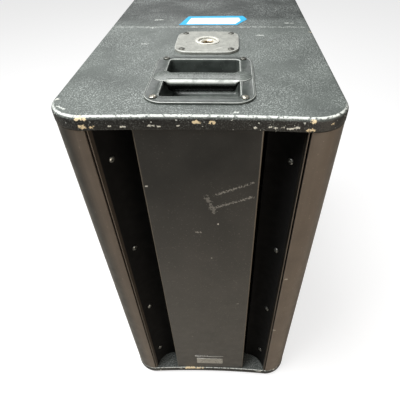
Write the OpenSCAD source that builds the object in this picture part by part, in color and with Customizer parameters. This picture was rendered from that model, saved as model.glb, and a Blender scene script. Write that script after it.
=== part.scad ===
// Portable powered bass cabinet: a tall plywood box with two 12 inch drivers that play
// through two vertical front slots, a hand grip and a pole plate on top, and four casters
// and an amplifier panel on the back. The origin is under the middle, on the floor.
// +Z is up and the front faces -Y.

/* [Cabinet] */
// Width over the top and bottom boards
cab_w = 356; // [350:1:440]
// Depth of the wooden cabinet, without casters
cab_d = 611; // [500:1:740]
// Height of the wooden cabinet, without feet
cab_h = 671; // [658:1:810]
// Thickness of the top, bottom, back and baffle boards
board_t = 18; // [12:0.5:23]
// Thickness of the side boards
side_t = 15; // [10:0.5:17]
// Plan radius of the front corners
corner_r = 46; // [30:1:60]
// Plan radius of the rear corners
rear_r = 5; // [2:0.5:8]
// How far the front edge curves in at its middle
front_sag = 4.3; // [2:0.1:8]
// How far the sides and back stand in from the boards' edges
side_inset = 1.5; // [0.5:0.1:3]

/* [Front] */
// Width of the centre front panel
centre_w = 155; // [120:1:190]
// Thickness of the centre front panel
centre_t = 15; // [9:0.5:20]
// How far the panel stands behind the middle of the front edge
centre_recess = 2.4; // [1:0.1:8]
// Width of each slot at its mouth
slot_w = 49.5; // [36:0.5:56]
// Thickness of the moulded wing
wing_t = 3; // [2:0.5:4]
// How far the wing stands inside the boards' outline
wing_inset = 1.2; // [0.5:0.1:3]
// Length of the wing's flat return along the side
wing_return = 32; // [20:1:45]
// Radius of the flare that turns each slot in behind the panel
flare_r = 41; // [34:0.5:43]
// Thickness of the flare and its front lip
flare_t = 1.8; // [1.4:0.1:2.6]
// Width of the groove between lip and wing
groove_w = 2; // [1:0.1:3]
// Depth of the groove
groove_d = 7; // [3:0.5:10]
// Thickness of the batten behind each flare
batten_t = 22; // [19:1:26]
// Number of screws in each wing
wing_screw_n = 4; // [3:1:6]
// Distance from the cabinet's end to the first wing screw
wing_screw_end = 74; // [45:1:90]
// Angle round the flare at which the wing screws stand
wing_screw_angle = 39; // [32:1:46]
// Gap between the baffle's back and the pole socket
baffle_gap = 5; // [2:0.5:12]

/* [Drivers] */
// Outer diameter of a driver's frame
driver_d = 308; // [300:1:309]
// Diameter of the hole in the baffle
cutout_d = 282; // [278:0.5:286]
// Diameter of the driver's screw circle
driver_pcd = 295; // [292:0.5:297]
// Gap between the two driver frames
driver_gap = 2; // [1:0.5:10]
// Depth from the baffle's front to the motor
basket_d = 75; // [70:1:85]
// Outer diameter of the ring magnet
magnet_d = 180; // [160:1:200]
// Thickness of the ring magnet
magnet_t = 20; // [15:1:30]
// Thickness of the motor's top plate and back plate
motor_plate_t = 8; // [6:0.5:10]
// Inner diameter of the voice coil former
coil_d = 76; // [70:1:80]
// Outer diameter of the cone
cone_d = 242; // [236:1:246]
// Travel of the cone each way
cone_travel = 8; // [4:0.5:8]

/* [Handle] */
// Distance from the front edge to the middle of the handle
handle_y = 109; // [100:1:115]
// Width of the handle's rim
rim_w = 137; // [130:1:150]
// Length of the handle's rim, front to back
rim_l = 156; // [145:1:170]
// Thickness of the rim
rim_t = 3; // [2.5:0.5:4]
// Width of the well
well_w = 98; // [90:1:104]
// Length of the well, front to back
well_l = 120; // [110:1:130]
// Depth of the well below the top board's face
well_d = 50; // [40:1:60]
// Wall of the well
well_t = 2.5; // [2:0.5:4]
// Width of the grip, front to back
grip_w = 32; // [26:1:36]
// Depth of the grip
grip_t = 17; // [13:0.5:22]

/* [Pole plate] */
// Distance from the front edge to the pole thread
pole_y = 246; // [242:1:270]
// Width of the square pole plate
plate_w = 102; // [94:1:115]
// Thickness of the pole plate
plate_t = 4; // [3:0.5:6]
// Spacing of the plate's four screws
plate_pitch = 75; // [66:1:80]
// Outer diameter of the raised ring
ring_d = 39; // [36:0.5:44]
// Bore of an M20 thread before it is cut
thread_d = 17.3; // [16:0.1:18]
// Length of the threaded bore
thread_l = 26; // [20:1:27]

/* [Amplifier] */
// Width of the amplifier panel
amp_w = 250; // [230:1:280]
// Height of the amplifier panel
amp_h = 380; // [350:1:390]
// Thickness of the amplifier panel
amp_t = 3; // [2:0.5:4]
// Width of the panel's edge that laps over the back board
amp_lap = 13; // [10:0.5:16]
// Distance from the panel to the circuit board
board_gap = 38; // [34:1:46]
// Bore of a signal socket
socket_d = 19.4; // [18.5:0.1:20.5]

/* [Casters] */
// Distance from the back of the cabinet to the wheels' outermost tread
caster_reach = 100; // [92:1:120]
// Diameter of a wheel
wheel_d = 75; // [62:1:80]
// Width of a wheel
wheel_w = 28; // [22:1:32]
// Distance from the swivel axis to the axle
trail = 22; // [12:1:25]
// Size of the square caster plate
caster_plate_w = 80; // [74:1:90]
// Distance from the cabinet's edge to the swivel axis, sideways
caster_x = 65; // [64:1:80]
// Distance from the cabinet's end to the swivel axis, along the height
caster_z = 76; // [66:1:84]
// Radius of the swivel pin
kingpin_r = 6; // [5:0.5:7]
// Radius of the axle
axle_r = 5; // [4:0.5:6]

/* [Feet and fasteners] */
// Height of a rubber foot
foot_h = 6; // [4:0.5:12]
// Diameter of a rubber foot
foot_d = 34; // [26:1:44]
// Distance from the board's edges to the middle of a foot
foot_in = 48; // [40:1:70]
// Radius of a screw's shank
screw_r = 2.2; // [1.8:0.1:2.6]
// Radius of a screw's head
head_r = 4.8; // [4:0.1:5.5]
// Height of a screw's head
head_h = 2.4; // [1.8:0.1:3]

/* [Hidden] */
$fn = 64;

eps = 0.01;
// Gap between curved or flat faces that pass each other
slip = 0.3;
// Radial clearance of a running shaft
run_gap = 0.05;
// Radial clearance of a screw in its hole
hole_gap = 0.2;

half_w = cab_w / 2;
front_y = -(cab_d + caster_reach) / 2;
back_y = front_y + cab_d;
low_z = foot_h;
high_z = foot_h + cab_h;
mid_z = (low_z + high_z) / 2;
floor_z = low_z + board_t;
ceil_z = high_z - board_t;
inner_h = ceil_z - floor_z;
inner_x = half_w - side_inset - side_t;
chord_x = half_w - corner_r;

lip_x = centre_w / 2 + slot_w;
lip_y = front_y + wing_inset + 0.8;
flare_x = lip_x - flare_r;
groove_x = lip_x + flare_t + groove_w;
wing_r = corner_r - wing_inset;
wing_end_y = front_y + corner_r + wing_return;
wing_screw_step = (cab_h - 2 * wing_screw_end) / (wing_screw_n - 1);
panel_y = front_y + front_sag + centre_recess;

socket_r = ring_d / 2 - 2;
baffle_y = front_y + pole_y - socket_r - baffle_gap - board_t;
driver_x = driver_d / 2;
driver_step = driver_d + driver_gap;
driver_r = driver_d / 2;
coil_r = coil_d / 2;
motor_d = basket_d + 2 * motor_plate_t + magnet_t;
motor_end_y = baffle_y + motor_d;
driver_screw_n = 8;
flange_h = 5;
brace_t = 15;

top_y = front_y + handle_y;
thread_y = front_y + pole_y;
rim_screw_x = rim_w / 2 - 13;
rim_screw_y = rim_l / 2 - 15;
tab_t = 2.5;
grip_top = rim_t + 0.5;
grip_end_r = grip_w / 2;
grip_half = rim_w / 2 - 3;

panel_low = mid_z - amp_h / 2;
amp_depth = board_gap + 50;
pcb_y = back_y - board_gap;
pcb_t = 1.6;
window_y = (motor_end_y + back_y - amp_depth) / 2 - brace_t / 2;

axle_y = back_y + caster_reach - wheel_d / 2;
swivel_x = half_w - caster_x;
swivel_low = low_z + caster_z;
swivel_high = high_z - caster_z;
plate_h = 3;
race_h = 4;
fork_t = 4;
race_r = 26;
fork_gap = 1;

wood = "#33302c";
black = "#1d1d1e";
paint = "#7c827f";
brown = "#6a5c50";
steel = "#b8b8b4";

// ---------- shared outlines ----------

// Rectangle about the origin with round corners
module round_rect(w, l, r) {
    square([w - 2 * r, l], center = true);
    square([w, l - 2 * r], center = true);
    for (sx = [-1, 1], sy = [-1, 1])
        translate([sx * (w / 2 - r), sy * (l / 2 - r)]) circle(r = r);
}

// Bar with half round ends, along X
module stadium(length, width) {
    square([length - width, width], center = true);
    for (s = [-1, 1]) translate([s * (length - width) / 2, 0]) circle(r = width / 2);
}

// Plan of the top and bottom boards
module board_plan() {
    sag_r = (chord_x * chord_x + front_sag * front_sag) / (2 * front_sag);
    difference() {
        union() {
            translate([-half_w, front_y + corner_r])
                square([cab_w, cab_d - corner_r - rear_r]);
            translate([-chord_x, front_y]) square([2 * chord_x, 2 * corner_r]);
            translate([rear_r - half_w, back_y - 2 * rear_r])
                square([cab_w - 2 * rear_r, 2 * rear_r]);
            for (s = [-1, 1]) {
                translate([s * chord_x, front_y + corner_r]) circle(r = corner_r, $fn = 96);
                translate([s * (half_w - rear_r), back_y - rear_r]) circle(r = rear_r);
            }
        }
        translate([0, front_y + front_sag - sag_r]) circle(r = sag_r, $fn = 360);
    }
}

// Button head screw that stands on z = 0 and points down
module screw(length) {
    cylinder(r = head_r, h = head_h);
    translate([0, 0, -length]) cylinder(r = screw_r, h = length + eps);
}

// Clearance hole for a screw that stands on z = 0
module screw_hole(length) {
    translate([0, 0, -length]) cylinder(r = screw_r + hole_gap, h = length + 1);
}

// ---------- cabinet ----------

module handle_screw_places() {
    for (sx = [-1, 1], sy = [-1, 1])
        translate([sx * rim_screw_x, top_y + sy * rim_screw_y, high_z]) children();
}

module plate_screw_places() {
    for (sx = [-1, 1], sy = [-1, 1])
        translate([sx * plate_pitch / 2, thread_y + sy * plate_pitch / 2, high_z])
            children();
}

module top_board() {
    color(paint) difference() {
        translate([0, 0, ceil_z]) linear_extrude(board_t) board_plan();
        translate([0, top_y, ceil_z - 1])
            linear_extrude(board_t + 2)
                round_rect(well_w + 2 * well_t + 1, well_l + 2 * well_t + 1, 17);
        translate([0, thread_y, ceil_z - 1])
            cylinder(r = socket_r + hole_gap, h = board_t + 2);
        handle_screw_places() screw_hole(board_t + 1);
        plate_screw_places() screw_hole(board_t + 1);
    }
}

module foot_places() {
    for (x = [foot_in - half_w, half_w - foot_in])
        for (y = [front_y + foot_in, back_y - foot_in])
            translate([x, y, 0]) children();
}

module bottom_board() {
    color(paint) translate([0, 0, low_z]) linear_extrude(board_t) board_plan();
}

module side_board(side) {
    x = side > 0 ? inner_x : -inner_x - side_t;
    color(wood) translate([x, wing_end_y + slip, floor_z])
        cube([side_t, back_y - side_inset - wing_end_y - slip, inner_h]);
}

module back_board() {
    y = back_y - side_inset - board_t;
    open_w = amp_w - 2 * amp_lap;
    open_h = amp_h - 2 * amp_lap;
    color(wood) difference() {
        translate([-inner_x, y, floor_z]) cube([2 * inner_x, board_t, inner_h]);
        translate([-open_w / 2, y - 1, mid_z - open_h / 2])
            cube([open_w, board_t + 2, open_h]);
        amp_screw_places() screw_hole(board_t + side_inset + 1);
        caster_screw_places() screw_hole(board_t + side_inset + 1);
    }
}

module driver_baffle() {
    color(wood) difference() {
        translate([-inner_x, baffle_y, floor_z]) cube([2 * inner_x, board_t, inner_h]);
        for (k = [-1, 1]) at_driver(k) {
            translate([0, 0, -board_t - 1]) cylinder(d = cutout_d, h = board_t + 2, $fn = 96);
            driver_screw_places() screw_hole(board_t + flange_h + 1);
        }
    }
}

module centre_front_panel() {
    color(black) translate([0, panel_y + centre_t / 2, floor_z])
        linear_extrude(inner_h) round_rect(centre_w, centre_t, 3);
}

// Plan of the right wing: a curved shell, a groove, a lip and the quarter-round flare in the slot
module wing_plan() {
    centre_y = front_y + corner_r;
    outer_y = front_y + wing_inset;
    web_y = lip_y + groove_d;
    difference() {
        union() {
            translate([chord_x, centre_y]) circle(r = wing_r, $fn = 96);
            translate([chord_x, centre_y]) square([wing_r, wing_return]);
            if (groove_x < chord_x)
                translate([groove_x, outer_y]) square([chord_x - groove_x, wing_r]);
        }
        translate([chord_x, centre_y]) circle(r = wing_r - wing_t, $fn = 96);
        translate([chord_x - corner_r, centre_y])
            square([corner_r + wing_r - wing_t, wing_r + wing_return]);
        translate([chord_x - corner_r, outer_y + wing_t]) square([corner_r, wing_r - wing_t]);
        translate([chord_x - 2 * corner_r, front_y - 1])
            square([groove_x - chord_x + 2 * corner_r, 2 * corner_r + wing_return]);
    }
    translate([groove_x, outer_y + wing_t / 2]) square([wing_t, web_y + flare_t - outer_y - wing_t / 2]);
    translate([lip_x, web_y]) square([groove_x - lip_x + wing_t / 2, flare_t]);
    translate([flare_x, lip_y]) intersection() {
        difference() {
            circle(r = flare_r + flare_t, $fn = 96);
            circle(r = flare_r, $fn = 96);
        }
        square(flare_r + flare_t);
    }
}

// Places on a flare, with z pointing into the slot
module wing_screw_places(side) {
    seat_r = sqrt(pow(flare_r, 2) - pow(head_r, 2));
    for (k = [0 : wing_screw_n - 1])
        translate([side * flare_x, lip_y, low_z + wing_screw_end + k * wing_screw_step])
            rotate([0, 0, side > 0 ? wing_screw_angle : 180 - wing_screw_angle])
                translate([seat_r, 0, 0]) rotate([0, -90, 0]) children();
}

module wing(side) {
    color(brown) difference() {
        translate([0, 0, floor_z]) linear_extrude(inner_h)
            mirror([side > 0 ? 0 : 1, 0]) wing_plan();
        wing_screw_places(side) screw_hole(flare_t + 2);
    }
}

// Posts behind the flares, hollowed to their curve
module wing_battens() {
    gap = 0.1;
    start = 18;
    from_x = flare_x + 14;
    for (side = [-1, 1]) color(wood) difference() {
        translate([0, 0, floor_z]) linear_extrude(inner_h) mirror([side > 0 ? 0 : 1, 0]) difference() {
            translate([from_x, lip_y + start])
                square([lip_x + batten_t - from_x, flare_r + batten_t / 2 - start]);
            translate([flare_x, lip_y]) circle(r = flare_r + flare_t + gap, $fn = 96);
        }
        wing_screw_places(side) screw_hole(batten_t);
    }
}

module wing_screws() {
    for (side = [-1, 1]) color(black) wing_screw_places(side) screw(batten_t - 3);
}

module front_brace() {
    y = panel_y + centre_t;
    notch_x = 55;
    notch_d = 36;
    color(wood) difference() {
        translate([-centre_w / 2, y, mid_z - brace_t / 2])
            cube([centre_w, baffle_y - y, brace_t]);
        translate([-notch_x, baffle_y - notch_d, mid_z - brace_t])
            cube([2 * notch_x, notch_d + 1, 2 * brace_t]);
    }
}

module window_brace() {
    margin = 24;
    bar = 40;
    open_h = (inner_h - 2 * margin - bar) / 2;
    color(wood) difference() {
        translate([-inner_x, window_y, floor_z]) cube([2 * inner_x, brace_t, inner_h]);
        for (s = [-1, 1])
            translate([0, window_y - 1, mid_z + s * (bar + open_h) / 2]) rotate([-90, 0, 0])
                linear_extrude(brace_t + 2) round_rect(2 * inner_x - 2 * margin, open_h, 20);
    }
}

// ---------- handle and pole plate ----------

module handle_cup() {
    color(black) difference() {
        translate([0, top_y, high_z]) union() {
            linear_extrude(rim_t) round_rect(rim_w, rim_l, 26);
            translate([0, 0, -well_d]) linear_extrude(well_d + eps)
                round_rect(well_w + 2 * well_t, well_l + 2 * well_t, 16.5);
        }
        translate([0, top_y, high_z - well_d + well_t])
            linear_extrude(well_d + rim_t) round_rect(well_w, well_l, 14);
        translate([0, top_y, high_z + grip_top - tab_t]) linear_extrude(rim_t)
            stadium(2 * grip_half + 0.8, grip_w + 0.8);
        handle_screw_places() translate([0, 0, rim_t]) screw_hole(rim_t + 2);
    }
}

module handle_grip() {
    body_l = well_w - 3;
    color(black) translate([0, top_y, high_z + grip_top]) union() {
        translate([0, 0, -tab_t]) linear_extrude(tab_t) stadium(2 * grip_half, grip_w);
        translate([-body_l / 2, 0, -grip_t / 2]) rotate([90, 0, 90])
            linear_extrude(body_l) round_rect(grip_w - 0.4, grip_t - 0.2, 7);
    }
}

module top_screws() {
    color(steel) {
        handle_screw_places() translate([0, 0, rim_t]) screw(16);
        plate_screw_places() translate([0, 0, plate_t]) screw(16);
    }
}

module pole_plate() {
    bulge_r = 4 * plate_w;
    reach = plate_w / 2;
    color(steel) difference() {
        translate([0, thread_y, high_z]) union() {
            linear_extrude(plate_t) intersection() {
                round_rect(plate_w, plate_w, 24);
                for (a = [0, 90]) rotate(a) intersection() {
                    translate([reach - bulge_r, 0]) circle(r = bulge_r, $fn = 180);
                    translate([bulge_r - reach, 0]) circle(r = bulge_r, $fn = 180);
                }
            }
            cylinder(d = ring_d, h = plate_t + 1.5);
        }
        translate([0, thread_y, high_z - 1]) cylinder(r = ring_d / 2 - 5, h = plate_t + 4);
        plate_screw_places() translate([0, 0, plate_t]) screw_hole(plate_t + 2);
    }
}

module pole_socket() {
    cone_h = plate_t - 1;
    color(steel) translate([0, thread_y, high_z]) difference() {
        union() {
            translate([0, 0, -thread_l - 2]) cylinder(r = socket_r, h = thread_l + 2);
            cylinder(r = ring_d / 2 - 5 - hole_gap, h = cone_h);
        }
        translate([0, 0, -thread_l - 3]) cylinder(d = thread_d, h = thread_l + plate_t + 3);
        translate([0, 0, 0])
            cylinder(d1 = thread_d, d2 = ring_d - 12, h = cone_h + eps);
    }
}

module rubber_feet() {
    color(black) foot_places() difference() {
        cylinder(d = foot_d, h = foot_h);
        translate([0, 0, -1]) cylinder(r = head_r + 1, h = foot_h / 2 + 1);
    }
}

module badge() {
    line_z = low_z + 75;
    badge_w = 60;
    badge_h = 24;
    color(steel) {
        translate([-badge_w / 2, panel_y - 1.2, low_z + 41]) cube([badge_w, 1.2, badge_h]);
        translate([-34, panel_y - 1, line_z]) cube([66, 1, 1.6]);
    }
}

module tape_label() {
    outline = [[-57, 346], [-44, 401], [60, 405], [67, 382], [48, 347]];
    color("deepskyblue") translate([0, front_y, high_z])
        linear_extrude(0.4) polygon(outline);
}

// ---------- drivers ----------

// Driver frame: the origin is at the middle of the baffle's front, +z points out of the front
module at_driver(k) {
    translate([0, baffle_y, mid_z + k * driver_step / 2]) rotate([90, 0, 0]) children();
}

module driver_screw_places() {
    for (k = [0 : driver_screw_n - 1])
        rotate((k + 0.5) * 360 / driver_screw_n)
            translate([driver_pcd / 2, 0, flange_h]) children();
}

module basket(k) {
    seat_r = cutout_d / 2 - 1;
    neck_r = 78;
    ledge_z = -44;
    wall = 3;
    window_n = 6;
    lower_z = ledge_z - 6;
    color(black) at_driver(k) difference() {
        rotate_extrude($fn = 96) polygon([
            [seat_r - 9, flange_h], [driver_r, flange_h], [driver_r, 0], [seat_r, 0],
            [neck_r + 16, lower_z], [neck_r, lower_z - 4], [neck_r, -basket_d],
            [coil_r + 8, -basket_d], [coil_r + 8, wall - basket_d],
            [neck_r - wall, wall - basket_d], [neck_r - wall, lower_z + 2],
            [neck_r + 4, ledge_z - 2], [neck_r + 16, ledge_z - 2],
            [seat_r - wall - 1, -3], [seat_r - 9, 0]]);
        for (w = [0 : window_n - 1]) rotate((w + 0.5) * 360 / window_n)
            translate([neck_r + 21, -24, ledge_z + 2]) cube([60, 48, 32]);
        driver_screw_places() screw_hole(flange_h + 2);
    }
}

module magnet(k) {
    top = -basket_d - motor_plate_t;
    color("#3a3a3c") at_driver(k) difference() {
        translate([0, 0, top - magnet_t]) cylinder(d = magnet_d, h = magnet_t, $fn = 96);
        translate([0, 0, top - magnet_t - 1]) cylinder(r = coil_r + 8, h = magnet_t + 2);
    }
}

module motor_steel(k) {
    top = -basket_d;
    back = top - motor_plate_t - magnet_t;
    color(steel) at_driver(k) {
        difference() {
            translate([0, 0, top - motor_plate_t])
                cylinder(d = magnet_d - 24, h = motor_plate_t, $fn = 96);
            translate([0, 0, top - motor_plate_t - 1])
                cylinder(r = coil_r + 2.4, h = motor_plate_t + 2);
        }
        difference() {
            union() {
                translate([0, 0, back - motor_plate_t])
                    cylinder(d = magnet_d - 10, h = motor_plate_t, $fn = 96);
                translate([0, 0, back - eps]) cylinder(r = coil_r - 1, h = top - back + eps);
            }
            translate([0, 0, back - motor_plate_t - 1])
                cylinder(r = 12, h = motor_d);
        }
    }
}

module voice_coil(k) {
    low = -basket_d - motor_plate_t - magnet_t + cone_travel + 4;
    high = -36;
    color("#8a5a2a") at_driver(k) rotate_extrude() polygon([
        [coil_r, low], [coil_r + 0.6, low], [coil_r + 0.6, -basket_d - 13],
        [coil_r + 1.2, -basket_d - 13], [coil_r + 1.2, 5 - basket_d],
        [coil_r + 0.6, 5 - basket_d], [coil_r + 0.6, high], [coil_r, high]]);
}

module cone(k) {
    neck = -35;
    rim = -2;
    wall = 1.4;
    steps = 8;
    inner = coil_r + 0.6 + eps;
    outer = cone_d / 2;
    function bow(t) = neck + (rim - neck) * (0.75 * t + 0.25 * t * t);
    function at(t) = inner + (outer - inner) * t;
    front_side = [for (i = [0 : steps]) [at(i / steps), bow(i / steps)]];
    back_side = [for (i = [steps : -1 : 0]) [at(i / steps), bow(i / steps) - wall]];
    color("#222222") at_driver(k)
        rotate_extrude($fn = 96) polygon(concat(front_side, back_side));
}

module dust_cap(k) {
    base_r = 52;
    rise = 17;
    wall = 1;
    ball_r = (base_r * base_r + rise * rise) / (2 * rise);
    color(black) at_driver(k) translate([0, 0, -29]) difference() {
        intersection() {
            translate([0, 0, rise - ball_r]) sphere(r = ball_r, $fn = 96);
            cylinder(r = base_r + 5, h = rise + 1);
        }
        translate([0, 0, rise - ball_r]) sphere(r = ball_r - wall, $fn = 96);
    }
}

module surround(k) {
    roll = 8;
    inner = cone_d / 2 + slip;
    seat_r = cutout_d / 2 - 10 - slip;
    mid = (inner + seat_r) / 2;
    half = (seat_r - inner) / 2;
    color("#181818") at_driver(k) rotate_extrude($fn = 96) translate([mid, 0])
        intersection() {
            difference() {
                circle(r = half);
                circle(r = half - 0.8);
            }
            translate([-2 * roll, 0]) square([4 * roll, 2 * roll]);
        }
}

module spider(k) {
    inner = coil_r + 0.6 + slip;
    outer = 93.5;
    waves = 6;
    per = 8;
    count = waves * per;
    z0 = -43.5;
    function ripple(i) = z0 + 1.6 * cos(i * 360 / per);
    function across(i) = inner + (outer - inner) * i / count;
    top = [for (i = [0 : count]) [across(i), ripple(i) + 0.4]];
    low = [for (i = [count : -1 : 0]) [across(i), ripple(i) - 0.4]];
    color("#c9a24a") at_driver(k) rotate_extrude($fn = 72) polygon(concat(top, low));
}

module driver_screws() {
    color(black) for (k = [-1, 1]) at_driver(k) driver_screw_places() screw(18);
}

// ---------- amplifier ----------

// Places on the panel's outer face: x across, y up, and z pointing out of the back
module on_back(x, z, out) {
    translate([x, back_y + out, z]) rotate([90, 0, 180]) children();
}

module amp_screw_places() {
    for (x = [-1, 1], z = [-1, -0.33, 0.33, 1])
        on_back(x * (amp_w / 2 - 6), mid_z + z * (amp_h / 2 - 6), 0) children();
}

socket_x = [-84, -48, -12, 24];
socket_z = panel_low + 92;
knob_x = -80;
knob_z = panel_low + 146;
mode_x = -36;
inlet_x = 84;
inlet_z = panel_low + 92;
knob_shaft_r = 3;
rocker_w = 12;
rocker_l = 20;
rocker_tilt = 7;
rocker_z = inlet_z + 32;
switch_w = 9;
switch_h = 7;
switch_travel = 3;

module amp_panel() {
    color(black) difference() {
        union() {
            on_back(0, mid_z, 0) linear_extrude(amp_t) round_rect(amp_w, amp_h, 6);
            for (x = [-1, 1], z = [-1, 1])
                on_back(x * (amp_w / 2 - 24), mid_z + z * (amp_h / 2 - 24), 0)
                    translate([0, 0, -board_gap + slip]) cylinder(r = 4, h = board_gap);
        }
        for (x = socket_x)
            on_back(x, socket_z, -1) cylinder(d = socket_d + 4, h = amp_t + 2);
        on_back(knob_x, knob_z, -1)
            cylinder(r = knob_shaft_r + 2, h = amp_t + 2);
        on_back(mode_x, knob_z, -1) translate([0, 0, (amp_t + 2) / 2])
            cube([switch_w + 2 * switch_travel + 1, switch_h + 1, amp_t + 2], center = true);
        on_back(inlet_x, inlet_z, -1) translate([0, 12, (amp_t + 2) / 2])
            cube([34, 70, amp_t + 2], center = true);
        amp_screw_places() translate([0, 0, amp_t]) screw_hole(amp_t + 1);
    }
}

module heat_sink() {
    sink_w = 200;
    sink_h = 150;
    fin_n = 17;
    fin_t = 2.2;
    fin_l = 26;
    base_t = 5;
    step = (sink_w - fin_t) / (fin_n - 1);
    color(black) on_back(0, mid_z + 85, amp_t) {
        linear_extrude(base_t) square([sink_w, sink_h], center = true);
        for (k = [0 : fin_n - 1])
            translate([k * step - sink_w / 2, -sink_h / 2, base_t - eps])
                cube([fin_t, sink_h, fin_l]);
    }
}

module circuit_board() {
    pcb_w = amp_w - 2 * amp_lap - 8;
    pcb_h = amp_h - 2 * amp_lap - 8;
    color("darkgreen") on_back(0, mid_z, -board_gap - pcb_t)
        linear_extrude(pcb_t) difference() {
            square([pcb_w, pcb_h], center = true);
            for (x = [-1, 1], z = [-1, 1])
                translate([x * (amp_w / 2 - 24), z * (amp_h / 2 - 24)]) circle(r = 1.6);
        }
}

module transformer() {
    ring_r = 48;
    core_r = 18;
    height = 38;
    color("#7a5a30") on_back(-40, mid_z - 90, -board_gap - pcb_t - height)
        rotate_extrude() translate([(ring_r + core_r) / 2, height / 2])
            round_rect(ring_r - core_r, height, 9);
}

module capacitors() {
    can_r = 15;
    can_l = 42;
    for (k = [0 : 3]) color("#24304a")
        on_back(46 + 36 * (k % 2), mid_z + 20 - 40 * floor(k / 2), -board_gap - pcb_t - can_l)
            cylinder(r = can_r, h = can_l);
}

module signal_sockets() {
    body_l = 22;
    for (x = socket_x) color(black) on_back(x, socket_z, amp_t) difference() {
        union() {
            linear_extrude(2.5) round_rect(29, 34, 3);
            translate([0, 0, -body_l]) cylinder(d = socket_d + 3.6, h = body_l + eps);
        }
        translate([0, 0, 2 - body_l]) cylinder(d = socket_d, h = body_l + 2);
    }
}

module power_inlet() {
    frame_w = 38;
    frame_h = 74;
    body_w = 33.4;
    body_h = 69.4;
    body_l = 28;
    color(black) on_back(inlet_x, inlet_z, amp_t) difference() {
        union() {
            translate([0, 12, 0]) linear_extrude(2.5) round_rect(frame_w, frame_h, 4);
            translate([-body_w / 2, 12 - body_h / 2, -body_l])
                cube([body_w, body_h, body_l + eps]);
        }
        translate([0, 0, 3 - body_l]) cylinder(d = 25, h = body_l + 2);
        translate([-rocker_w / 2 - 0.6, rocker_z - inlet_z - rocker_l / 2 - 0.6, -12])
            cube([rocker_w + 1.2, rocker_l + 1.2, 20]);
    }
}

// Rocker: a round barrel with a raised wedge on one side of the pivot
module power_switch() {
    barrel_r = 8;
    color("#aa2222") on_back(inlet_x, rocker_z, amp_t) rotate([rocker_tilt, 0, 0])
        rotate([0, 90, 0]) translate([0, 0, -rocker_w / 2]) linear_extrude(rocker_w) intersection() {
            circle(r = rocker_l / 2);
            polygon([[-4.5, -rocker_l / 2], [-2.2, 0], [-4.5, rocker_l / 2],
                [4, barrel_r], [5, 0], [4, -barrel_r]]);
        }
}

module gain_knob() {
    knob_r = 9;
    knob_h = 14;
    color(black) on_back(knob_x, knob_z, amp_t + 0.5) difference() {
        union() {
            cylinder(r = knob_r, h = knob_h);
            translate([0, 0, -16]) cylinder(r = knob_shaft_r, h = 16 + eps);
        }
        translate([-0.6, 2, knob_h - 1]) cube([1.2, knob_r, 2]);
        for (k = [0 : 11]) rotate(k * 30)
            translate([knob_r + 0.6, 0, 2]) cylinder(r = 1.4, h = knob_h);
    }
}

module mode_switch() {
    color(steel) on_back(mode_x, knob_z, 0) {
        translate([-switch_w / 2, -switch_h / 2, -4]) cube([switch_w, switch_h, amp_t + 8]);
    }
}

module amp_screws() {
    color(black) amp_screw_places() translate([0, 0, amp_t]) screw(16);
}

function unit(v) = v / norm(v);
function smooth_point(p, i, t) =
    let (a = p[max(i - 1, 0)], b = p[i], c = p[i + 1], d = p[min(i + 2, len(p) - 1)])
    0.5 * (2 * b + (c - a) * t + (2 * a - 5 * b + 4 * c - d) * t * t
        + (3 * b - a - 3 * c + d) * t * t * t);
function smooth_path(p, n) = concat(
    [for (i = [0 : len(p) - 2], k = [0 : n - 1]) smooth_point(p, i, k / n)],
    [p[len(p) - 1]]);

// Round lead swept along a path that never points straight up
module lead(path, r) {
    sides = 8;
    count = len(path);
    rings = [for (i = [0 : count - 1])
        let (t = unit(path[min(i + 1, count - 1)] - path[max(i - 1, 0)]),
            u = unit(cross(t, [0, 0, 1])), v = cross(u, t))
        for (k = [0 : sides - 1])
            path[i] + r * (cos(k * 360 / sides) * u + sin(k * 360 / sides) * v)];
    walls = [for (i = [0 : count - 2], k = [0 : sides - 1])
        let (a = i * sides + k, b = i * sides + (k + 1) % sides)
        [a, b, b + sides, a + sides]];
    caps = [[for (k = [sides - 1 : -1 : 0]) k],
        [for (k = [0 : sides - 1]) (count - 1) * sides + k]];
    polyhedron(points = rings, faces = concat(walls, caps));
}

module speaker_wires() {
    lead_r = 3;
    side_x = 26 - inner_x;
    for (k = [-1, 1]) {
        z = mid_z + k * driver_step / 2;
        points = [[-99, baffle_y + 62, z], [-112, baffle_y + 66, z], [side_x + 14, baffle_y + 78, z],
            [side_x + 10, motor_end_y - 10, z], [side_x + 10, window_y - 10, z - k * 18],
            [side_x + 10, window_y + brace_t + 10, z - k * 30],
            [side_x + 22, pcb_y - 36, z - k * 60], [-101, pcb_y - 20, z - k * 74],
            [-100, pcb_y - pcb_t - 8, z - k * 76], [-100, pcb_y - pcb_t - slip, z - k * 76]];
        color("#aa3322") lead(smooth_path(points, 4), lead_r);
    }
}

// ---------- casters ----------

module swivel_place(side, level) {
    z = level > 0 ? swivel_high : swivel_low;
    on_back(side * swivel_x, z, 0) children();
}

module each_swivel() {
    for (side = [-1, 1], level = [-1, 1]) swivel_place(side, level) children();
}

module caster_screw_places() {
    reach = caster_plate_w / 2 - 8;
    each_swivel() for (x = [-1, 1], z = [-1, 1]) translate([x * reach, z * reach, 0])
        children();
}

module caster_plates() {
    head_z = plate_h + race_h + fork_gap + fork_t + fork_gap;
    color(steel) each_swivel() difference() {
        union() {
            linear_extrude(plate_h) round_rect(caster_plate_w, caster_plate_w, 6);
            cylinder(r = race_r, h = plate_h + race_h);
            cylinder(r = kingpin_r, h = head_z);
            translate([0, 0, head_z]) cylinder(r = kingpin_r + 4, h = 3);
        }
        for (x = [-1, 1], z = [-1, 1])
            translate([x * (caster_plate_w / 2 - 8), z * (caster_plate_w / 2 - 8), plate_h])
                screw_hole(plate_h + 2);
    }
}

module caster_screws() {
    color(steel) caster_screw_places() translate([0, 0, plate_h]) screw(15);
}

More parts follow.
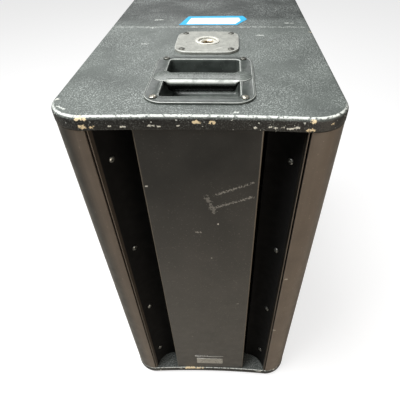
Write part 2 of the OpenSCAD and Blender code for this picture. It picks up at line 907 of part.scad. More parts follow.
// The fork's disc turns on the swivel pin; its two cheeks hold the axle
module fork(side, level) {
    disc_z = plate_h + race_h + fork_gap;
    cheek_t = 3.5;
    inner = wheel_w / 2 + 1.5;
    reach = axle_y - back_y;
    tip_r = 9;
    wide = 19;
    swivel = kingpin_r + run_gap;
    color(steel) swivel_place(side, level) {
        difference() {
            union() {
                translate([0, 0, disc_z]) cylinder(r = race_r + 1, h = fork_t);
                for (s = [-1, 1]) translate([s * (inner + cheek_t / 2) - cheek_t / 2, 0, 0])
                    rotate([90, 0, 90]) linear_extrude(cheek_t) {
                        polygon([[wide, disc_z], [-wide, disc_z], [-trail - tip_r, reach],
                            [-trail + tip_r, reach], [wide, disc_z + 14]]);
                        translate([-trail, reach]) circle(r = tip_r);
                    }
            }
            translate([0, 0, disc_z - 1]) cylinder(r = swivel, h = fork_t + 2);
        }
        translate([0, -trail, reach]) rotate([0, 90, 0]) {
            translate([0, 0, slip - inner - cheek_t - 3]) cylinder(r = axle_r + 3, h = 2.7, $fn = 6);
            translate([0, 0, inner + cheek_t]) cylinder(r = axle_r + 3, h = 2.7, $fn = 6);
            translate([0, 0, -inner]) cylinder(r = axle_r, h = 2 * inner);
        }
    }
}

module wheel(side, level) {
    reach = axle_y - back_y;
    tread = wheel_d / 2;
    hub_r = tread - 9;
    half = wheel_w / 2;
    color(black) swivel_place(side, level)
        translate([0, -trail, reach]) rotate([0, 90, 0]) rotate_extrude($fn = 72) polygon([
            [axle_r + run_gap, -half], [axle_r + 6, -half], [axle_r + 6, -half + 5],
            [hub_r - 3, -half + 5], [hub_r - 1, -half + 2], [tread - 5, -half + 1],
            [tread - 1, -half + 5], [tread, 0], [tread - 1, half - 5], [tread - 5, half - 1],
            [hub_r - 1, half - 2], [hub_r - 3, half - 5], [axle_r + 6, half - 5],
            [axle_r + 6, half], [axle_r + run_gap, half]]);
}

top_board();
bottom_board();
side_board(-1);  // left_side_board
side_board(1);  // right_side_board
back_board();
driver_baffle();
centre_front_panel();
wing(-1);  // left_wing
wing(1);  // right_wing
wing_battens();
wing_screws();
front_brace();
window_brace();
handle_cup();
handle_grip();
top_screws();
pole_plate();
pole_socket();
rubber_feet();
badge();
tape_label();
basket(1);  // upper_basket
magnet(1);  // upper_magnet
motor_steel(1);  // upper_motor_steel
cone(1);  // upper_cone
dust_cap(1);  // upper_dust_cap
voice_coil(1);  // upper_voice_coil
surround(1);  // upper_surround
spider(1);  // upper_spider
basket(-1);  // lower_basket
magnet(-1);  // lower_magnet
motor_steel(-1);  // lower_motor_steel
cone(-1);  // lower_cone
dust_cap(-1);  // lower_dust_cap
voice_coil(-1);  // lower_voice_coil
surround(-1);  // lower_surround
spider(-1);  // lower_spider
driver_screws();
amp_panel();
heat_sink();
circuit_board();
transformer();
capacitors();
signal_sockets();
power_inlet();
power_switch();
gain_knob();
mode_switch();
amp_screws();
speaker_wires();
caster_plates();
caster_screws();
fork(-1, 1);  // upper_left_fork
fork(1, 1);  // upper_right_fork
fork(-1, -1);  // lower_left_fork
fork(1, -1);  // lower_right_fork
wheel(-1, 1);  // upper_left_wheel
wheel(1, 1);  // upper_right_wheel
wheel(-1, -1);  // lower_left_wheel
wheel(1, -1);  // lower_right_wheel
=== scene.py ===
"""Looks of a portable powered bass cabinet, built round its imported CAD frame.

Each sub-assembly is a class that reads its place from the frame, builds its finer meshes and
dresses them and the CAD nodes with procedural finishes. Lengths are metres, and sizes written in
millimetres are multiplied by MM.
"""

import logging
import math
from collections.abc import Callable, Iterable, Sequence
from dataclasses import dataclass
from enum import Enum

import bmesh
import bpy
from mathutils import Matrix, Vector


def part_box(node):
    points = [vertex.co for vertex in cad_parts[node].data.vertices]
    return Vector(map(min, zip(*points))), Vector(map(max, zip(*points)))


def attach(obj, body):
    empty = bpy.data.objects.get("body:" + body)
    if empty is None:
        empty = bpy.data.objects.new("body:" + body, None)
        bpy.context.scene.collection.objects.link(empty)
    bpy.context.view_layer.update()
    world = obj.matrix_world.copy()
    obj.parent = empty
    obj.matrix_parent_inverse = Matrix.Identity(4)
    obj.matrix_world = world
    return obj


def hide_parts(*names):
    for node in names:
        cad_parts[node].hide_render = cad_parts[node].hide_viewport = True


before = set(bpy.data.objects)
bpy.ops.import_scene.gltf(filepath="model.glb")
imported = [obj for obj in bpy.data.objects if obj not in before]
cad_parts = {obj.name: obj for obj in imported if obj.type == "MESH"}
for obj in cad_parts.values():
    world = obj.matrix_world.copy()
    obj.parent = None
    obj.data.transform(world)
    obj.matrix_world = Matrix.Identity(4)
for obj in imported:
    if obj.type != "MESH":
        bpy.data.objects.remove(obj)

logging.basicConfig(level=logging.INFO, format="%(name)s: %(message)s")
LOG = logging.getLogger("bass_cabinet")

MM = 0.001
HEAD_R, HEAD_H = 4.8 * MM, 2.4 * MM
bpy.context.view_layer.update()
CABINET = "cabinet"
WHITE = (1.0, 1.0, 1.0, 1.0)
Point = tuple[float, float]


# ---------------------------------------------------------------- small helpers


def linear(code: str, alpha: float = 1.0) -> tuple[float, float, float, float]:
    """Turn an sRGB hex colour into linear light.

    Args:
        code: Six hex digits, with or without a leading hash.
        alpha: Opacity to carry along.

    Returns:
        Linear red, green and blue, and the opacity.
    """
    digits = code.lstrip("#")
    channels = [int(digits[i:i + 2], 16) / 255 for i in (0, 2, 4)]
    red, green, blue = [c / 12.92 if c <= 0.04045 else ((c + 0.055) / 1.055) ** 2.4 for c in channels]
    return red, green, blue, alpha


def add_node(tree: bpy.types.NodeTree, kind: str, inputs: dict | None = None, **settings) -> bpy.types.Node:
    """Add a node to a tree, with its settings and its links.

    Args:
        tree: Shader or geometry node tree.
        kind: Blender's name for the node type.
        inputs: Input name or index, to a value or to an output socket that feeds it.
        **settings: Attributes of the node itself.

    Returns:
        The new node.
    """
    node = tree.nodes.new(kind)
    for name, value in settings.items():
        setattr(node, name, value)
    for key, value in (inputs or {}).items():
        if isinstance(value, bpy.types.NodeSocket):
            tree.links.new(value, node.inputs[key])
        else:
            node.inputs[key].default_value = value
    return node


# ---------------------------------------------------------------- outlines and meshes


def arc(centre: Point, radius: float, start: float, end: float, steps: int) -> list[Point]:
    """List points on an arc, both ends included.

    Args:
        centre: Middle of the circle.
        radius: Its radius.
        start: First angle in degrees.
        end: Last angle in degrees.
        steps: Number of chords.

    Returns:
        The points in order.
    """
    angles = [math.radians(start + (end - start) * k / steps) for k in range(steps + 1)]
    return [(centre[0] + radius * math.cos(a), centre[1] + radius * math.sin(a)) for a in angles]


def rounded_rect(width: float, length: float, radius: float, steps: int = 8) -> list[Point]:
    """List the outline of a rectangle with round corners, anticlockwise from its right side."""
    x, y = width / 2 - radius, length / 2 - radius
    corners = ((x, -y, -90), (x, y, 0), (-x, y, 90), (-x, -y, 180))
    return [p for cx, cy, a in corners for p in arc((cx, cy), radius, a, a + 90, steps)]


def stadium(length: float, width: float, steps: int = 16) -> list[Point]:
    """List the outline of a bar with half round ends."""
    x = (length - width) / 2
    return arc((x, 0), width / 2, -90, 90, steps) + arc((-x, 0), width / 2, 90, 270, steps)


def inset(outline: Sequence[Point], depth: float) -> list[Point]:
    """Move an anticlockwise outline inwards.

    Args:
        outline: Points of a closed outline.
        depth: How far each side moves in; negative moves it out.

    Returns:
        As many points, each moved along the mean of its two sides' normals.
    """
    moved = []
    for k, here in enumerate(outline):
        before, after = Vector(outline[k - 1]), Vector(outline[(k + 1) % len(outline)])
        first, second = Vector(here) - before, after - Vector(here)
        if first.length < 1e-9 or second.length < 1e-9:
            first = second = after - before
        normal = Vector((-first.y, first.x)).normalized() + Vector((-second.y, second.x)).normalized()
        normal.normalize()
        lean = max(0.4, normal.dot(Vector((-second.y, second.x)).normalized()))
        moved.append((here[0] + normal.x * depth / lean, here[1] + normal.y * depth / lean))
    return moved


def finish_mesh(name: str, shape: bmesh.types.BMesh, sharp: float = 38.0) -> bpy.types.Object:
    """Turn a bmesh into a linked object with outward faces and smooth shading.

    Args:
        name: Name of the piece.
        shape: The bmesh, which is freed.
        sharp: Edges that bend more than this many degrees stay sharp.

    Returns:
        The new object, at the origin.
    """
    bmesh.ops.remove_doubles(shape, verts=shape.verts, dist=1e-6)
    bmesh.ops.recalc_face_normals(shape, faces=shape.faces)
    mesh = bpy.data.meshes.new(name)
    shape.to_mesh(mesh)
    shape.free()
    mesh.shade_smooth()
    mesh.set_sharp_from_angle(angle=math.radians(sharp))
    piece = bpy.data.objects.new(name, mesh)
    bpy.context.scene.collection.objects.link(piece)
    return piece


def loft(name: str, rings: Sequence[Sequence[Vector]], caps: bool = True,
         closed: bool = False) -> bpy.types.Object:
    """Skin a stack of rings that all have as many points.

    Args:
        name: Name of the piece.
        rings: The rings, in order.
        caps: Whether the first and the last ring are closed with a face.
        closed: Whether the last ring joins the first, as on a torus.

    Returns:
        The new object.
    """
    shape = bmesh.new()
    rows = [[shape.verts.new(p) for p in ring] for ring in rings]
    pairs = list(zip(rows, rows[1:])) + ([(rows[-1], rows[0])] if closed else [])
    for low, high in pairs:
        for k in range(len(low)):
            after = (k + 1) % len(low)
            shape.faces.new((low[k], low[after], high[after], high[k]))
    if caps and not closed:
        shape.faces.new(list(reversed(rows[0])))
        shape.faces.new(rows[-1])
    return finish_mesh(name, shape)


def level(outline: Iterable[Point], z: float) -> list[Vector]:
    """Lift a flat outline to a height."""
    return [Vector((x, y, z)) for x, y in outline]


def slab(name: str, outline: Sequence[Point], low: float, high: float, top: float,
         bottom: float) -> bpy.types.Object:
    """Make a plate with rounded edges.

    Args:
        name: Name of the piece.
        outline: Its plan, anticlockwise.
        low: Height of its underside.
        high: Height of its top.
        top: Radius of its top edge.
        bottom: Radius of its bottom edge.

    Returns:
        The new object.
    """
    steps, margin = 5, 0.4 * MM
    rings = [level(inset(outline, bottom + margin), low)]
    for k in range(steps + 1):
        a = math.pi / 2 * k / steps
        rings.append(level(inset(outline, bottom * (1 - math.sin(a))), low + bottom * (1 - math.cos(a))))
    for k in range(steps + 1):
        a = math.pi / 2 * k / steps
        rings.append(level(inset(outline, top * (1 - math.cos(a))), high - top * (1 - math.sin(a))))
    rings.append(level(inset(outline, top + margin), high))
    return loft(name, rings)


def lathe(name: str, profile: Sequence[Point], steps: int = 64) -> bpy.types.Object:
    """Turn a closed profile of (radius, height) points about Z.

    Args:
        name: Name of the piece.
        profile: Points of the closed profile; a radius of 0 makes a pole.
        steps: Sides of the turned shape.

    Returns:
        The new object.
    """
    shape = bmesh.new()
    rows = []
    for k in range(steps):
        a = 2 * math.pi * k / steps
        rows.append([shape.verts.new((r * math.cos(a), r * math.sin(a), z)) for r, z in profile])
    for k in range(steps):
        here, after = rows[k], rows[(k + 1) % steps]
        for j in range(len(profile)):
            nxt = (j + 1) % len(profile)
            if profile[j][0] > 0 or profile[nxt][0] > 0:
                shape.faces.new((here[j], after[j], after[nxt], here[nxt]))
    bmesh.ops.remove_doubles(shape, verts=shape.verts, dist=1e-7)
    bmesh.ops.dissolve_degenerate(shape, edges=shape.edges, dist=1e-7)
    return finish_mesh(name, shape)


def place(piece: bpy.types.Object, where: Matrix) -> bpy.types.Object:
    """Move a piece by moving its mesh, so that its object stays at the origin."""
    piece.data.transform(where)
    piece.data.update()
    return piece


def to_plain_mesh(piece: bpy.types.Object) -> bpy.types.Object:
    """Replace a piece's mesh with what its modifiers make of it, and drop them."""
    graph = bpy.context.evaluated_depsgraph_get()
    graph.update()
    made = bpy.data.meshes.new_from_object(piece.evaluated_get(graph))
    piece.modifiers.clear()
    piece.data = made
    return piece


def cut(piece: bpy.types.Object, *tools: bpy.types.Object) -> bpy.types.Object:
    """Cut other shapes out of a piece and delete them.

    Args:
        piece: The piece that loses material.
        *tools: The shapes that are cut away.

    Returns:
        The piece.
    """
    for tool in tools:
        modifier = piece.modifiers.new("cut", "BOOLEAN")
        modifier.operation, modifier.solver, modifier.object = "DIFFERENCE", "EXACT", tool
    to_plain_mesh(piece)
    for tool in tools:
        bpy.data.objects.remove(tool)
    piece.data.shade_smooth()
    piece.data.set_sharp_from_angle(angle=math.radians(38))
    return piece


def join(name: str, parts: Sequence[bpy.types.Object]) -> bpy.types.Object:
    """Put several shapes into one piece.

    Args:
        name: Name of the joined piece.
        parts: The shapes, which are deleted.

    Returns:
        The new object.
    """
    shape = bmesh.new()
    for part in parts:
        shape.from_mesh(part.data)
        bpy.data.objects.remove(part)
    mesh = bpy.data.meshes.new(name)
    shape.to_mesh(mesh)
    shape.free()
    mesh.shade_smooth()
    mesh.set_sharp_from_angle(angle=math.radians(38))
    piece = bpy.data.objects.new(name, mesh)
    bpy.context.scene.collection.objects.link(piece)
    return piece


def islands(node: str) -> list[tuple[Vector, Vector]]:
    """Find the separate solids of a CAD node.

    Args:
        node: Name of the CAD node.

    Returns:
        Lowest and highest corner of each solid, in order of height, depth and width.
    """
    shape = bmesh.new()
    shape.from_mesh(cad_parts[node].data)
    bmesh.ops.remove_doubles(shape, verts=shape.verts, dist=1e-5)
    seen: set[int] = set()
    found = []
    shape.verts.ensure_lookup_table()
    for start in shape.verts:
        if start.index in seen:
            continue
        stack, group = [start], []
        seen.add(start.index)
        while stack:
            vert = stack.pop()
            group.append(vert.co.copy())
            for edge in vert.link_edges:
                other = edge.other_vert(vert)
                if other.index not in seen:
                    seen.add(other.index)
                    stack.append(other)
        low = Vector(min(p[i] for p in group) for i in range(3))
        high = Vector(max(p[i] for p in group) for i in range(3))
        found.append((low, high))
    shape.free()
    return sorted(found, key=lambda box: tuple(round(c, 4) for c in reversed(box[0])))


# ---------------------------------------------------------------- finishes


@dataclass(frozen=True)
class Mark:
    """A chip, scuff or smear: a ragged streak from one place to another, in millimetres."""

    start: tuple[float, float, float]
    end: tuple[float, float, float]
    width: float
    colour: str
    ragged: float = 0.8
    strength: float = 1.0


@dataclass(frozen=True)
class Finish:
    """A material with grain, mottling, specks, scratches and single marks at real sizes."""

    name: str
    slot: str
    colour: str
    second: str
    roughness: float = 0.5
    metallic: float = 0.0
    specular: float = 0.5
    mottle_mm: float = 40.0
    mottle_mix: float = 0.5
    grain_mm: float = 1.0
    grain_depth_mm: float = 0.05
    uneven: float = 0.06
    speck: str = "#8a8a86"
    speck_mm: float = 5.0
    speck_share: float = 0.0
    scratch: str = "#8f9290"
    scratch_share: float = 0.0
    coat: float = 0.0
    shade_x_mm: float = 0.0
    marks: tuple[Mark, ...] = ()

    def build(self) -> bpy.types.Material:
        """Make the Blender material."""
        material = bpy.data.materials.new(self.name)
        material.use_nodes = True
        tree = material.node_tree
        tree.nodes.clear()
        place_mm = self.millimetres(tree)
        mottle = self.noise(tree, place_mm, self.mottle_mm, detail=4.0)
        mix = self.ramp(tree, mottle, 0.5 - self.mottle_mix / 2, 0.5 + self.mottle_mix / 2)
        colour = self.blend(tree, mix, linear(self.colour), linear(self.second))
        if self.speck_share > 0:
            spot = self.noise(tree, place_mm, self.speck_mm, detail=2.0)
            mask = self.ramp(tree, spot, 0.76 - self.speck_share, 0.80 - self.speck_share)
            colour = self.blend(tree, mask, colour, linear(self.speck))
        if self.scratch_share > 0:
            colour = self.blend(tree, self.scratches(tree, place_mm), colour, linear(self.scratch))
        grain = self.noise(tree, place_mm, self.grain_mm, detail=2.0)
        rough = self.ramp(tree, self.noise(tree, place_mm, self.mottle_mm / 3, detail=3.0), 0.3, 0.7,
                          self.roughness - self.uneven, self.roughness + self.uneven)
        colour = self.wear(tree, place_mm, colour)
        for mark in self.marks:
            colour = self.blend(tree, self.mark_mask(tree, place_mm, mark), colour, linear(mark.colour))
        # Painted shade: inside the slot the colour turns near black and the surface rougher.
        if self.shade_x_mm > 0:
            across = add_node(tree, "ShaderNodeSeparateXYZ", {0: place_mm}).outputs[0]
            within = self.ramp(tree, self.math(tree, "ABSOLUTE", across, 0.0), self.shade_x_mm,
                               self.shade_x_mm - 0.6)
            colour = self.blend(tree, within, colour, linear(SLOT_SHADE))
            rough = self.math(tree, "ADD", rough, self.math(tree, "MULTIPLY", within, 0.6))
        bump = add_node(tree, "ShaderNodeBump", {"Height": grain, "Strength": 1.0,
                        "Distance": self.grain_depth_mm * MM})
        shader = add_node(tree, "ShaderNodeBsdfPrincipled", {"Base Color": colour, "Roughness": rough,
                          "Metallic": self.metallic, "Specular IOR Level": self.specular,
                          "Coat Weight": self.coat, "Normal": bump.outputs[0]})
        add_node(tree, "ShaderNodeOutputMaterial", {"Surface": shader.outputs[0]})
        return material

    def wear(self, tree: bpy.types.NodeTree, place_mm: bpy.types.NodeSocket,
             colour: bpy.types.NodeSocket) -> bpy.types.NodeSocket:
        """Add wear of this finish's own; the plain finish has none."""
        return colour

    @staticmethod
    def millimetres(tree: bpy.types.NodeTree) -> bpy.types.NodeSocket:
        """Give the surface's place in millimetres."""
        place_m = add_node(tree, "ShaderNodeTexCoord").outputs["Object"]
        scaled = add_node(tree, "ShaderNodeVectorMath", {0: place_m, "Scale": 1 / MM}, operation="SCALE")
        return scaled.outputs[0]

    @staticmethod
    def noise(tree: bpy.types.NodeTree, place_mm: bpy.types.NodeSocket, size_mm: float, detail: float = 2.0,
              stretch: tuple[float, float, float] = (1.0, 1.0, 1.0)) -> bpy.types.NodeSocket:
        """Give noise whose features are about size_mm across, longer along an axis with a small stretch."""
        moved = add_node(tree, "ShaderNodeMapping", {"Vector": place_mm, "Scale": stretch})
        noise = add_node(tree, "ShaderNodeTexNoise", {"Vector": moved.outputs[0], "Scale": 1 / size_mm,
                         "Detail": detail})
        return noise.outputs["Fac"]

    @staticmethod
    def ramp(tree: bpy.types.NodeTree, value: bpy.types.NodeSocket, low: float, high: float,
             to_low: float = 0.0, to_high: float = 1.0) -> bpy.types.NodeSocket:
        """Stretch a value's range, clamped at both ends."""
        node = add_node(tree, "ShaderNodeMapRange", {"Value": value, "From Min": low, "From Max": high,
                        "To Min": to_low, "To Max": to_high}, clamp=True)
        return node.outputs[0]

    @staticmethod
    def blend(tree: bpy.types.NodeTree, factor: bpy.types.NodeSocket, first: object,
              second: object) -> bpy.types.NodeSocket:
        """Mix two colours."""
        node = add_node(tree, "ShaderNodeMix", {0: factor, 6: first, 7: second}, data_type="RGBA")
        return node.outputs[2]

    @staticmethod
    def math(tree: bpy.types.NodeTree, operation: str, first: object, second: object) -> bpy.types.NodeSocket:
        """Combine two numbers."""
        return add_node(tree, "ShaderNodeMath", {0: first, 1: second}, operation=operation).outputs[0]

    def mark_mask(self, tree: bpy.types.NodeTree, place_mm: bpy.types.NodeSocket,
                  mark: Mark) -> bpy.types.NodeSocket:
        """Give 1 inside a mark and 0 outside it, with a ragged border."""
        run = Vector(mark.end) - Vector(mark.start)
        from_start = add_node(tree, "ShaderNodeVectorMath", {0: place_mm, 1: mark.start},
                              operation="SUBTRACT")
        along = add_node(tree, "ShaderNodeVectorMath", {0: from_start.outputs[0],
                         1: tuple(run / max(run.length_squared, 0.01))}, operation="DOT_PRODUCT")
        share = self.ramp(tree, along.outputs["Value"], 0.0, 1.0)
        foot = add_node(tree, "ShaderNodeVectorMath", {0: tuple(run), "Scale": share}, operation="SCALE")
        away = add_node(tree, "ShaderNodeVectorMath", {0: from_start.outputs[0], 1: foot.outputs[0]},
                        operation="DISTANCE").outputs["Value"]
        reach = mark.width * mark.ragged
        rough = self.noise(tree, place_mm, max(1.6, mark.width * 0.7), detail=4.0)
        border = self.math(tree, "ADD", away, self.ramp(tree, rough, 0.3, 0.7, -reach, reach))
        return self.ramp(tree, border, mark.width * 0.5, mark.width * 0.3, 0.0, mark.strength)

    def scratches(self, tree: bpy.types.NodeTree, place_mm: bpy.types.NodeSocket) -> bpy.types.NodeSocket:
        """Give a mask of thin scratches that run in two directions, broken up in patches."""
        patch = self.ramp(tree, self.noise(tree, place_mm, 70.0, detail=2.0), 0.48, 0.62)
        masks = []
        for turn in (0.15, -0.7):
            turned = add_node(tree, "ShaderNodeVectorRotate", {"Vector": place_mm, "Angle": turn},
                              rotation_type="Z_AXIS")
            line = self.noise(tree, turned.outputs[0], 2.4, detail=1.0, stretch=(0.04, 1.0, 1.0))
            masks.append(self.ramp(tree, line, 0.78 - self.scratch_share, 0.82 - self.scratch_share))
        both = self.math(tree, "MAXIMUM", masks[0], masks[1])
        return self.math(tree, "MULTIPLY", both, patch)


@dataclass(frozen=True)
class TexturedPaint(Finish):
    """Rolled black texture paint on birch plywood: a dull grey-green crust that rubs through at edges, with
    painted shade on the faces that do not face up and painted highlight along the front round edge.
    """

    front_mm: float = -355.5
    # Pale colour of the front round edge, partly worn paint and partly painted highlight; also the chips on
    # the front faces
    rub_and_highlight: str = "#e2e6e0"
    dust: str = "#b9bfbb"
    rear: str = "#1c211f"
    rear_mm: float = -20.0
    # Colour of the painted shade on the faces that do not face up
    sideways_shade: str = "#0d0d0c"

    def wear(self, tree: bpy.types.NodeTree, place_mm: bpy.types.NodeSocket,
             colour: bpy.types.NodeSocket) -> bpy.types.NodeSocket:
        """Paint shade on what does not face up, darken the top behind a line across it, dust the crust's high
        grains, and make the front round edge pale: partly worn paint, partly painted highlight.
        """
        axes = add_node(tree, "ShaderNodeSeparateXYZ", {0: place_mm}).outputs
        facing = add_node(tree, "ShaderNodeSeparateXYZ",
                          {0: add_node(tree, "ShaderNodeTexCoord").outputs["Normal"]}).outputs
        up = self.ramp(tree, facing[2], -1.0, 1.0, -1.0, 1.0)
        # Painted shade: faces that turn away from up go near black, the front faces most.
        colour = self.blend(tree, self.ramp(tree, up, 0.6, 0.15), colour, linear(self.sideways_shade))
        fade = self.ramp(tree, axes[1], self.rear_mm - 6, self.rear_mm + 70, 0.0, 0.85)
        colour = self.blend(tree, fade, colour, linear(self.rear))
        crust = self.ramp(tree, self.noise(tree, place_mm, 1.7, detail=5.0), 0.5, 0.68)
        patch = self.ramp(tree, self.noise(tree, place_mm, 55.0, detail=3.0), 0.35, 0.65, 0.15, 0.8)
        dusty = self.math(tree, "MULTIPLY", crust, patch)
        dusty = self.math(tree, "MULTIPLY", dusty, self.ramp(tree, up, 0.2, 0.8, 0.25, 1.0))
        colour = self.blend(tree, dusty, colour, linear(self.dust))
        # Painted highlight, partly worn paint: the front round edge turns pale in patches.
        edge = self.math(tree, "MULTIPLY", self.ramp(tree, up, 0.6, 0.8), self.ramp(tree, up, 0.985, 0.93))
        near = self.ramp(tree, axes[1], self.front_mm + 48, self.front_mm + 16)
        patchy = self.ramp(tree, self.noise(tree, place_mm, 4.0, detail=5.0), 0.36, 0.5)
        rubbed_and_highlit = self.math(tree, "MULTIPLY", self.math(tree, "MULTIPLY", edge, patchy), near)
        colour = self.blend(tree, rubbed_and_highlit, colour, linear(self.rub_and_highlight))
        band = self.math(tree, "MULTIPLY", self.ramp(tree, up, 0.5, 0.1), near)
        fleck = self.ramp(tree, self.noise(tree, place_mm, 3.4, detail=3.0), 0.70, 0.735)
        return self.blend(tree, self.math(tree, "MULTIPLY", fleck, band), colour, linear(self.rub_and_highlight))


@dataclass(frozen=True)
class EdgeWornAndHighlit(Finish):
    """A finish made pale along its rounded upper edges, partly polished by hands and cases and partly painted
    highlight, with painted shade where asked on what does not face up.
    """

    # Pale colour of the rounded upper edges: painted highlight, partly wear
    bare_and_highlight: str = "#cfd1cb"
    low_edge: float = 0.35
    high_edge: float = 0.965
    upward: str = ""
    # Colour of painted shade on what does not face up, if given
    under_shade: str = ""
    above_mm: float = -1000.0

    def wear(self, tree: bpy.types.NodeTree, place_mm: bpy.types.NodeSocket,
             colour: bpy.types.NodeSocket) -> bpy.types.NodeSocket:
        """Paint shade on what does not face up where that is asked, lighten what faces between sideways and
        up as painted highlight and wear, and repaint what faces up where that is asked.
        """
        up = add_node(tree, "ShaderNodeSeparateXYZ",
                      {0: add_node(tree, "ShaderNodeTexCoord").outputs["Normal"]}).outputs[2]
        edge = self.math(tree, "MULTIPLY", self.ramp(tree, up, self.low_edge, self.low_edge + 0.25),
                         self.ramp(tree, up, self.high_edge + 0.02, self.high_edge - 0.05))
        patchy = self.ramp(tree, self.noise(tree, place_mm, 9.0, detail=3.0), 0.3, 0.5, 0.5, 1.0)
        height = add_node(tree, "ShaderNodeSeparateXYZ", {0: place_mm}).outputs[2]
        high_up = self.ramp(tree, height, self.above_mm, self.above_mm + 2.0)
        patchy = self.math(tree, "MULTIPLY", patchy, high_up)
        # Painted shade: what does not face up turns dark.
        if self.under_shade:
            colour = self.blend(tree, self.ramp(tree, up, 0.45, 0.1), colour, linear(self.under_shade))
        # Painted highlight, partly wear: the rounded upper edges turn pale.
        colour = self.blend(tree, self.math(tree, "MULTIPLY", edge, patchy), colour, linear(self.bare_and_highlight))
        if self.upward:
            colour = self.blend(tree, self.ramp(tree, up, 0.9, 0.97), colour, linear(self.upward))
        return colour


@dataclass(frozen=True)
class WingSkin(Finish):
    """Moulded plastic with painted shade, near black, where it turns to the side."""

    # Near black painted as shade where the skin turns to the side
    side_shade: str = "#131412"
    scuff: str = "#83786b"

    def wear(self, tree: bpy.types.NodeTree, place_mm: bpy.types.NodeSocket,
             colour: bpy.types.NodeSocket) -> bpy.types.NodeSocket:
        """Darken what faces sideways as painted shade, most on the left, and scuff it a little."""
        across = add_node(tree, "ShaderNodeSeparateXYZ",
                          {0: add_node(tree, "ShaderNodeTexCoord").outputs["Normal"]}).outputs[0]
        left = self.ramp(tree, across, -0.2, -0.55, 0.0, 0.95)
        right = self.ramp(tree, across, 0.6, 0.95, 0.0, 0.6)
        turned = self.math(tree, "MAXIMUM", left, right)
        # Painted shade: what turns to the side darkens, most on the left.
        colour = self.blend(tree, turned, colour, linear(self.side_shade))
        streak = self.noise(tree, place_mm, 5.0, detail=3.0, stretch=(1.0, 1.0, 0.05))
        return self.blend(tree, self.ramp(tree, streak, 0.5, 0.85, 0.0, 0.12), colour, linear(self.scuff))


@dataclass(frozen=True)
class PanelPaint(Finish):
    """Sprayed satin paint, with a brown painted highlight along the panel's two upright round edges and
    painted shade over its upper half.
    """

    # Brown painted highlight along the upright round edges
    rub_and_highlight: str = "#5f574b"
    # Near black painted as shade over the upper half
    upper_shade: str = "#0e0f0e"

    def wear(self, tree: bpy.types.NodeTree, place_mm: bpy.types.NodeSocket,
             colour: bpy.types.NodeSocket) -> bpy.types.NodeSocket:
        """Lighten the upright round edges as painted highlight, and darken the upper half in clouds as
        painted shade.
        """
        across = add_node(tree, "ShaderNodeSeparateXYZ",
                          {0: add_node(tree, "ShaderNodeTexCoord").outputs["Normal"]}).outputs[0]
        turned = self.math(tree, "ABSOLUTE", across, 0.0)
        edge = self.math(tree, "MULTIPLY", self.ramp(tree, turned, 0.15, 0.4),
                         self.ramp(tree, turned, 0.97, 0.85))
        height = add_node(tree, "ShaderNodeSeparateXYZ", {0: place_mm}).outputs[2]
        # Painted shade: the upper half darkens in clouds.
        upper_shade = self.ramp(tree, self.noise(tree, place_mm, 90.0, detail=6.0), 0.35, 0.65, 0.5, 1.0)
        upper_shade = self.math(tree, "MULTIPLY", upper_shade, self.ramp(tree, height, 380.0, 620.0))
        colour = self.blend(tree, upper_shade, colour, linear(self.upper_shade))
        # Painted highlight along the upright round edges.
        return self.blend(tree, edge, colour, linear(self.rub_and_highlight))


# Bare birch and primer where the paint is knocked off
WOOD_TAN, PRIMER, SMEAR = "#ead7b0", "#dedfd6", "#c3c7c1"
# Near black painted as shade inside the deep slots
SLOT_SHADE = "#020202"


def chip(x: float, y: float, z: float, width: float, colour: str = WOOD_TAN, long: float = 2.0) -> Mark:
    """Give a small chip, a little longer across the cabinet than high."""
    return Mark((x - long / 2, y, z), (x + long / 2, y, z), 0.8 * width, colour, 0.45)


def smear(start: Point, end: Point, width: float, strength: float, ragged: float = 0.9) -> Mark:
    """Give a pale smear that lies on the top face."""
    return Mark((*start, TOP_MM), (*end, TOP_MM), width, SMEAR, ragged, strength)


# Height of the top face in millimetres
TOP_MM = 677
TAN_CHIPS = (
    chip(-131, -354, 674, 6, long=8), chip(-131, -355, 665, 5.5, long=4), chip(-121, -355, 664, 4.5),
    chip(-10, -351, 677, 4), chip(-1, -351, 670, 6, long=3), chip(17, -351, 669.5, 5.5, long=3),
    chip(130, -355, 673, 5, long=4), chip(129, -355, 663, 4.5, long=7), chip(153, -350, 668, 3),
    chip(173, -48, 676, 4),
)
WHITE_CHIPS = (
    chip(-100, -354, 665, 2.6, PRIMER), chip(-85, -353, 664, 2.4, PRIMER, 5),
    chip(-53, -352, 665, 2.6, PRIMER, 6), chip(-44, -352, 664, 3, PRIMER),
    chip(-22, -351, 665, 2.4, PRIMER), chip(66, -352, 664, 3, PRIMER), chip(83, -353, 665, 2.6, PRIMER),
    chip(89, -353, 664, 2.6, PRIMER, 4), chip(97, -354, 665, 2.4, PRIMER, 3),
    chip(106, -354, 663.5, 3, PRIMER, 6), chip(113, -354, 665, 4, PRIMER, 5),
    chip(-171, -312, 676, 5, PRIMER, 3),
)
TOP_SMEARS = (
    smear((-165, -330), (-154, -337), 2.6, 1.0, 0.5),
    Mark((-166, -338, 673), (-146, -350, 673), 3, SMEAR),
    smear((-109, -27), (-101, -26), 6, 0.6), smear((-104, 22), (-94, 24), 6, 0.55),
    smear((-104, -112), (-96, -112), 5, 0.5), smear((-30, -21), (-24, -22), 4, 0.7, 0.8),
    smear((80, -66), (90, -67), 5, 0.8, 0.8), smear((136, 4), (150, 4), 5, 0.7, 0.8),
    smear((-165, -22), (170, -20), 5, 0.35, 1.0), smear((39, -344), (46, -341), 3, 1.0, 0.7),
)
LOW_MARKS = (
    Mark((-58, -352, 22), (-18, -352, 22), 6, WOOD_TAN, 0.5), chip(-120, -355, 14, 4, PRIMER),
    chip(116, -355, 18, 4, PRIMER, 8), chip(-70, -353, 20, 3, PRIMER, 6), chip(150, -350, 22, 4, PRIMER, 8),
)
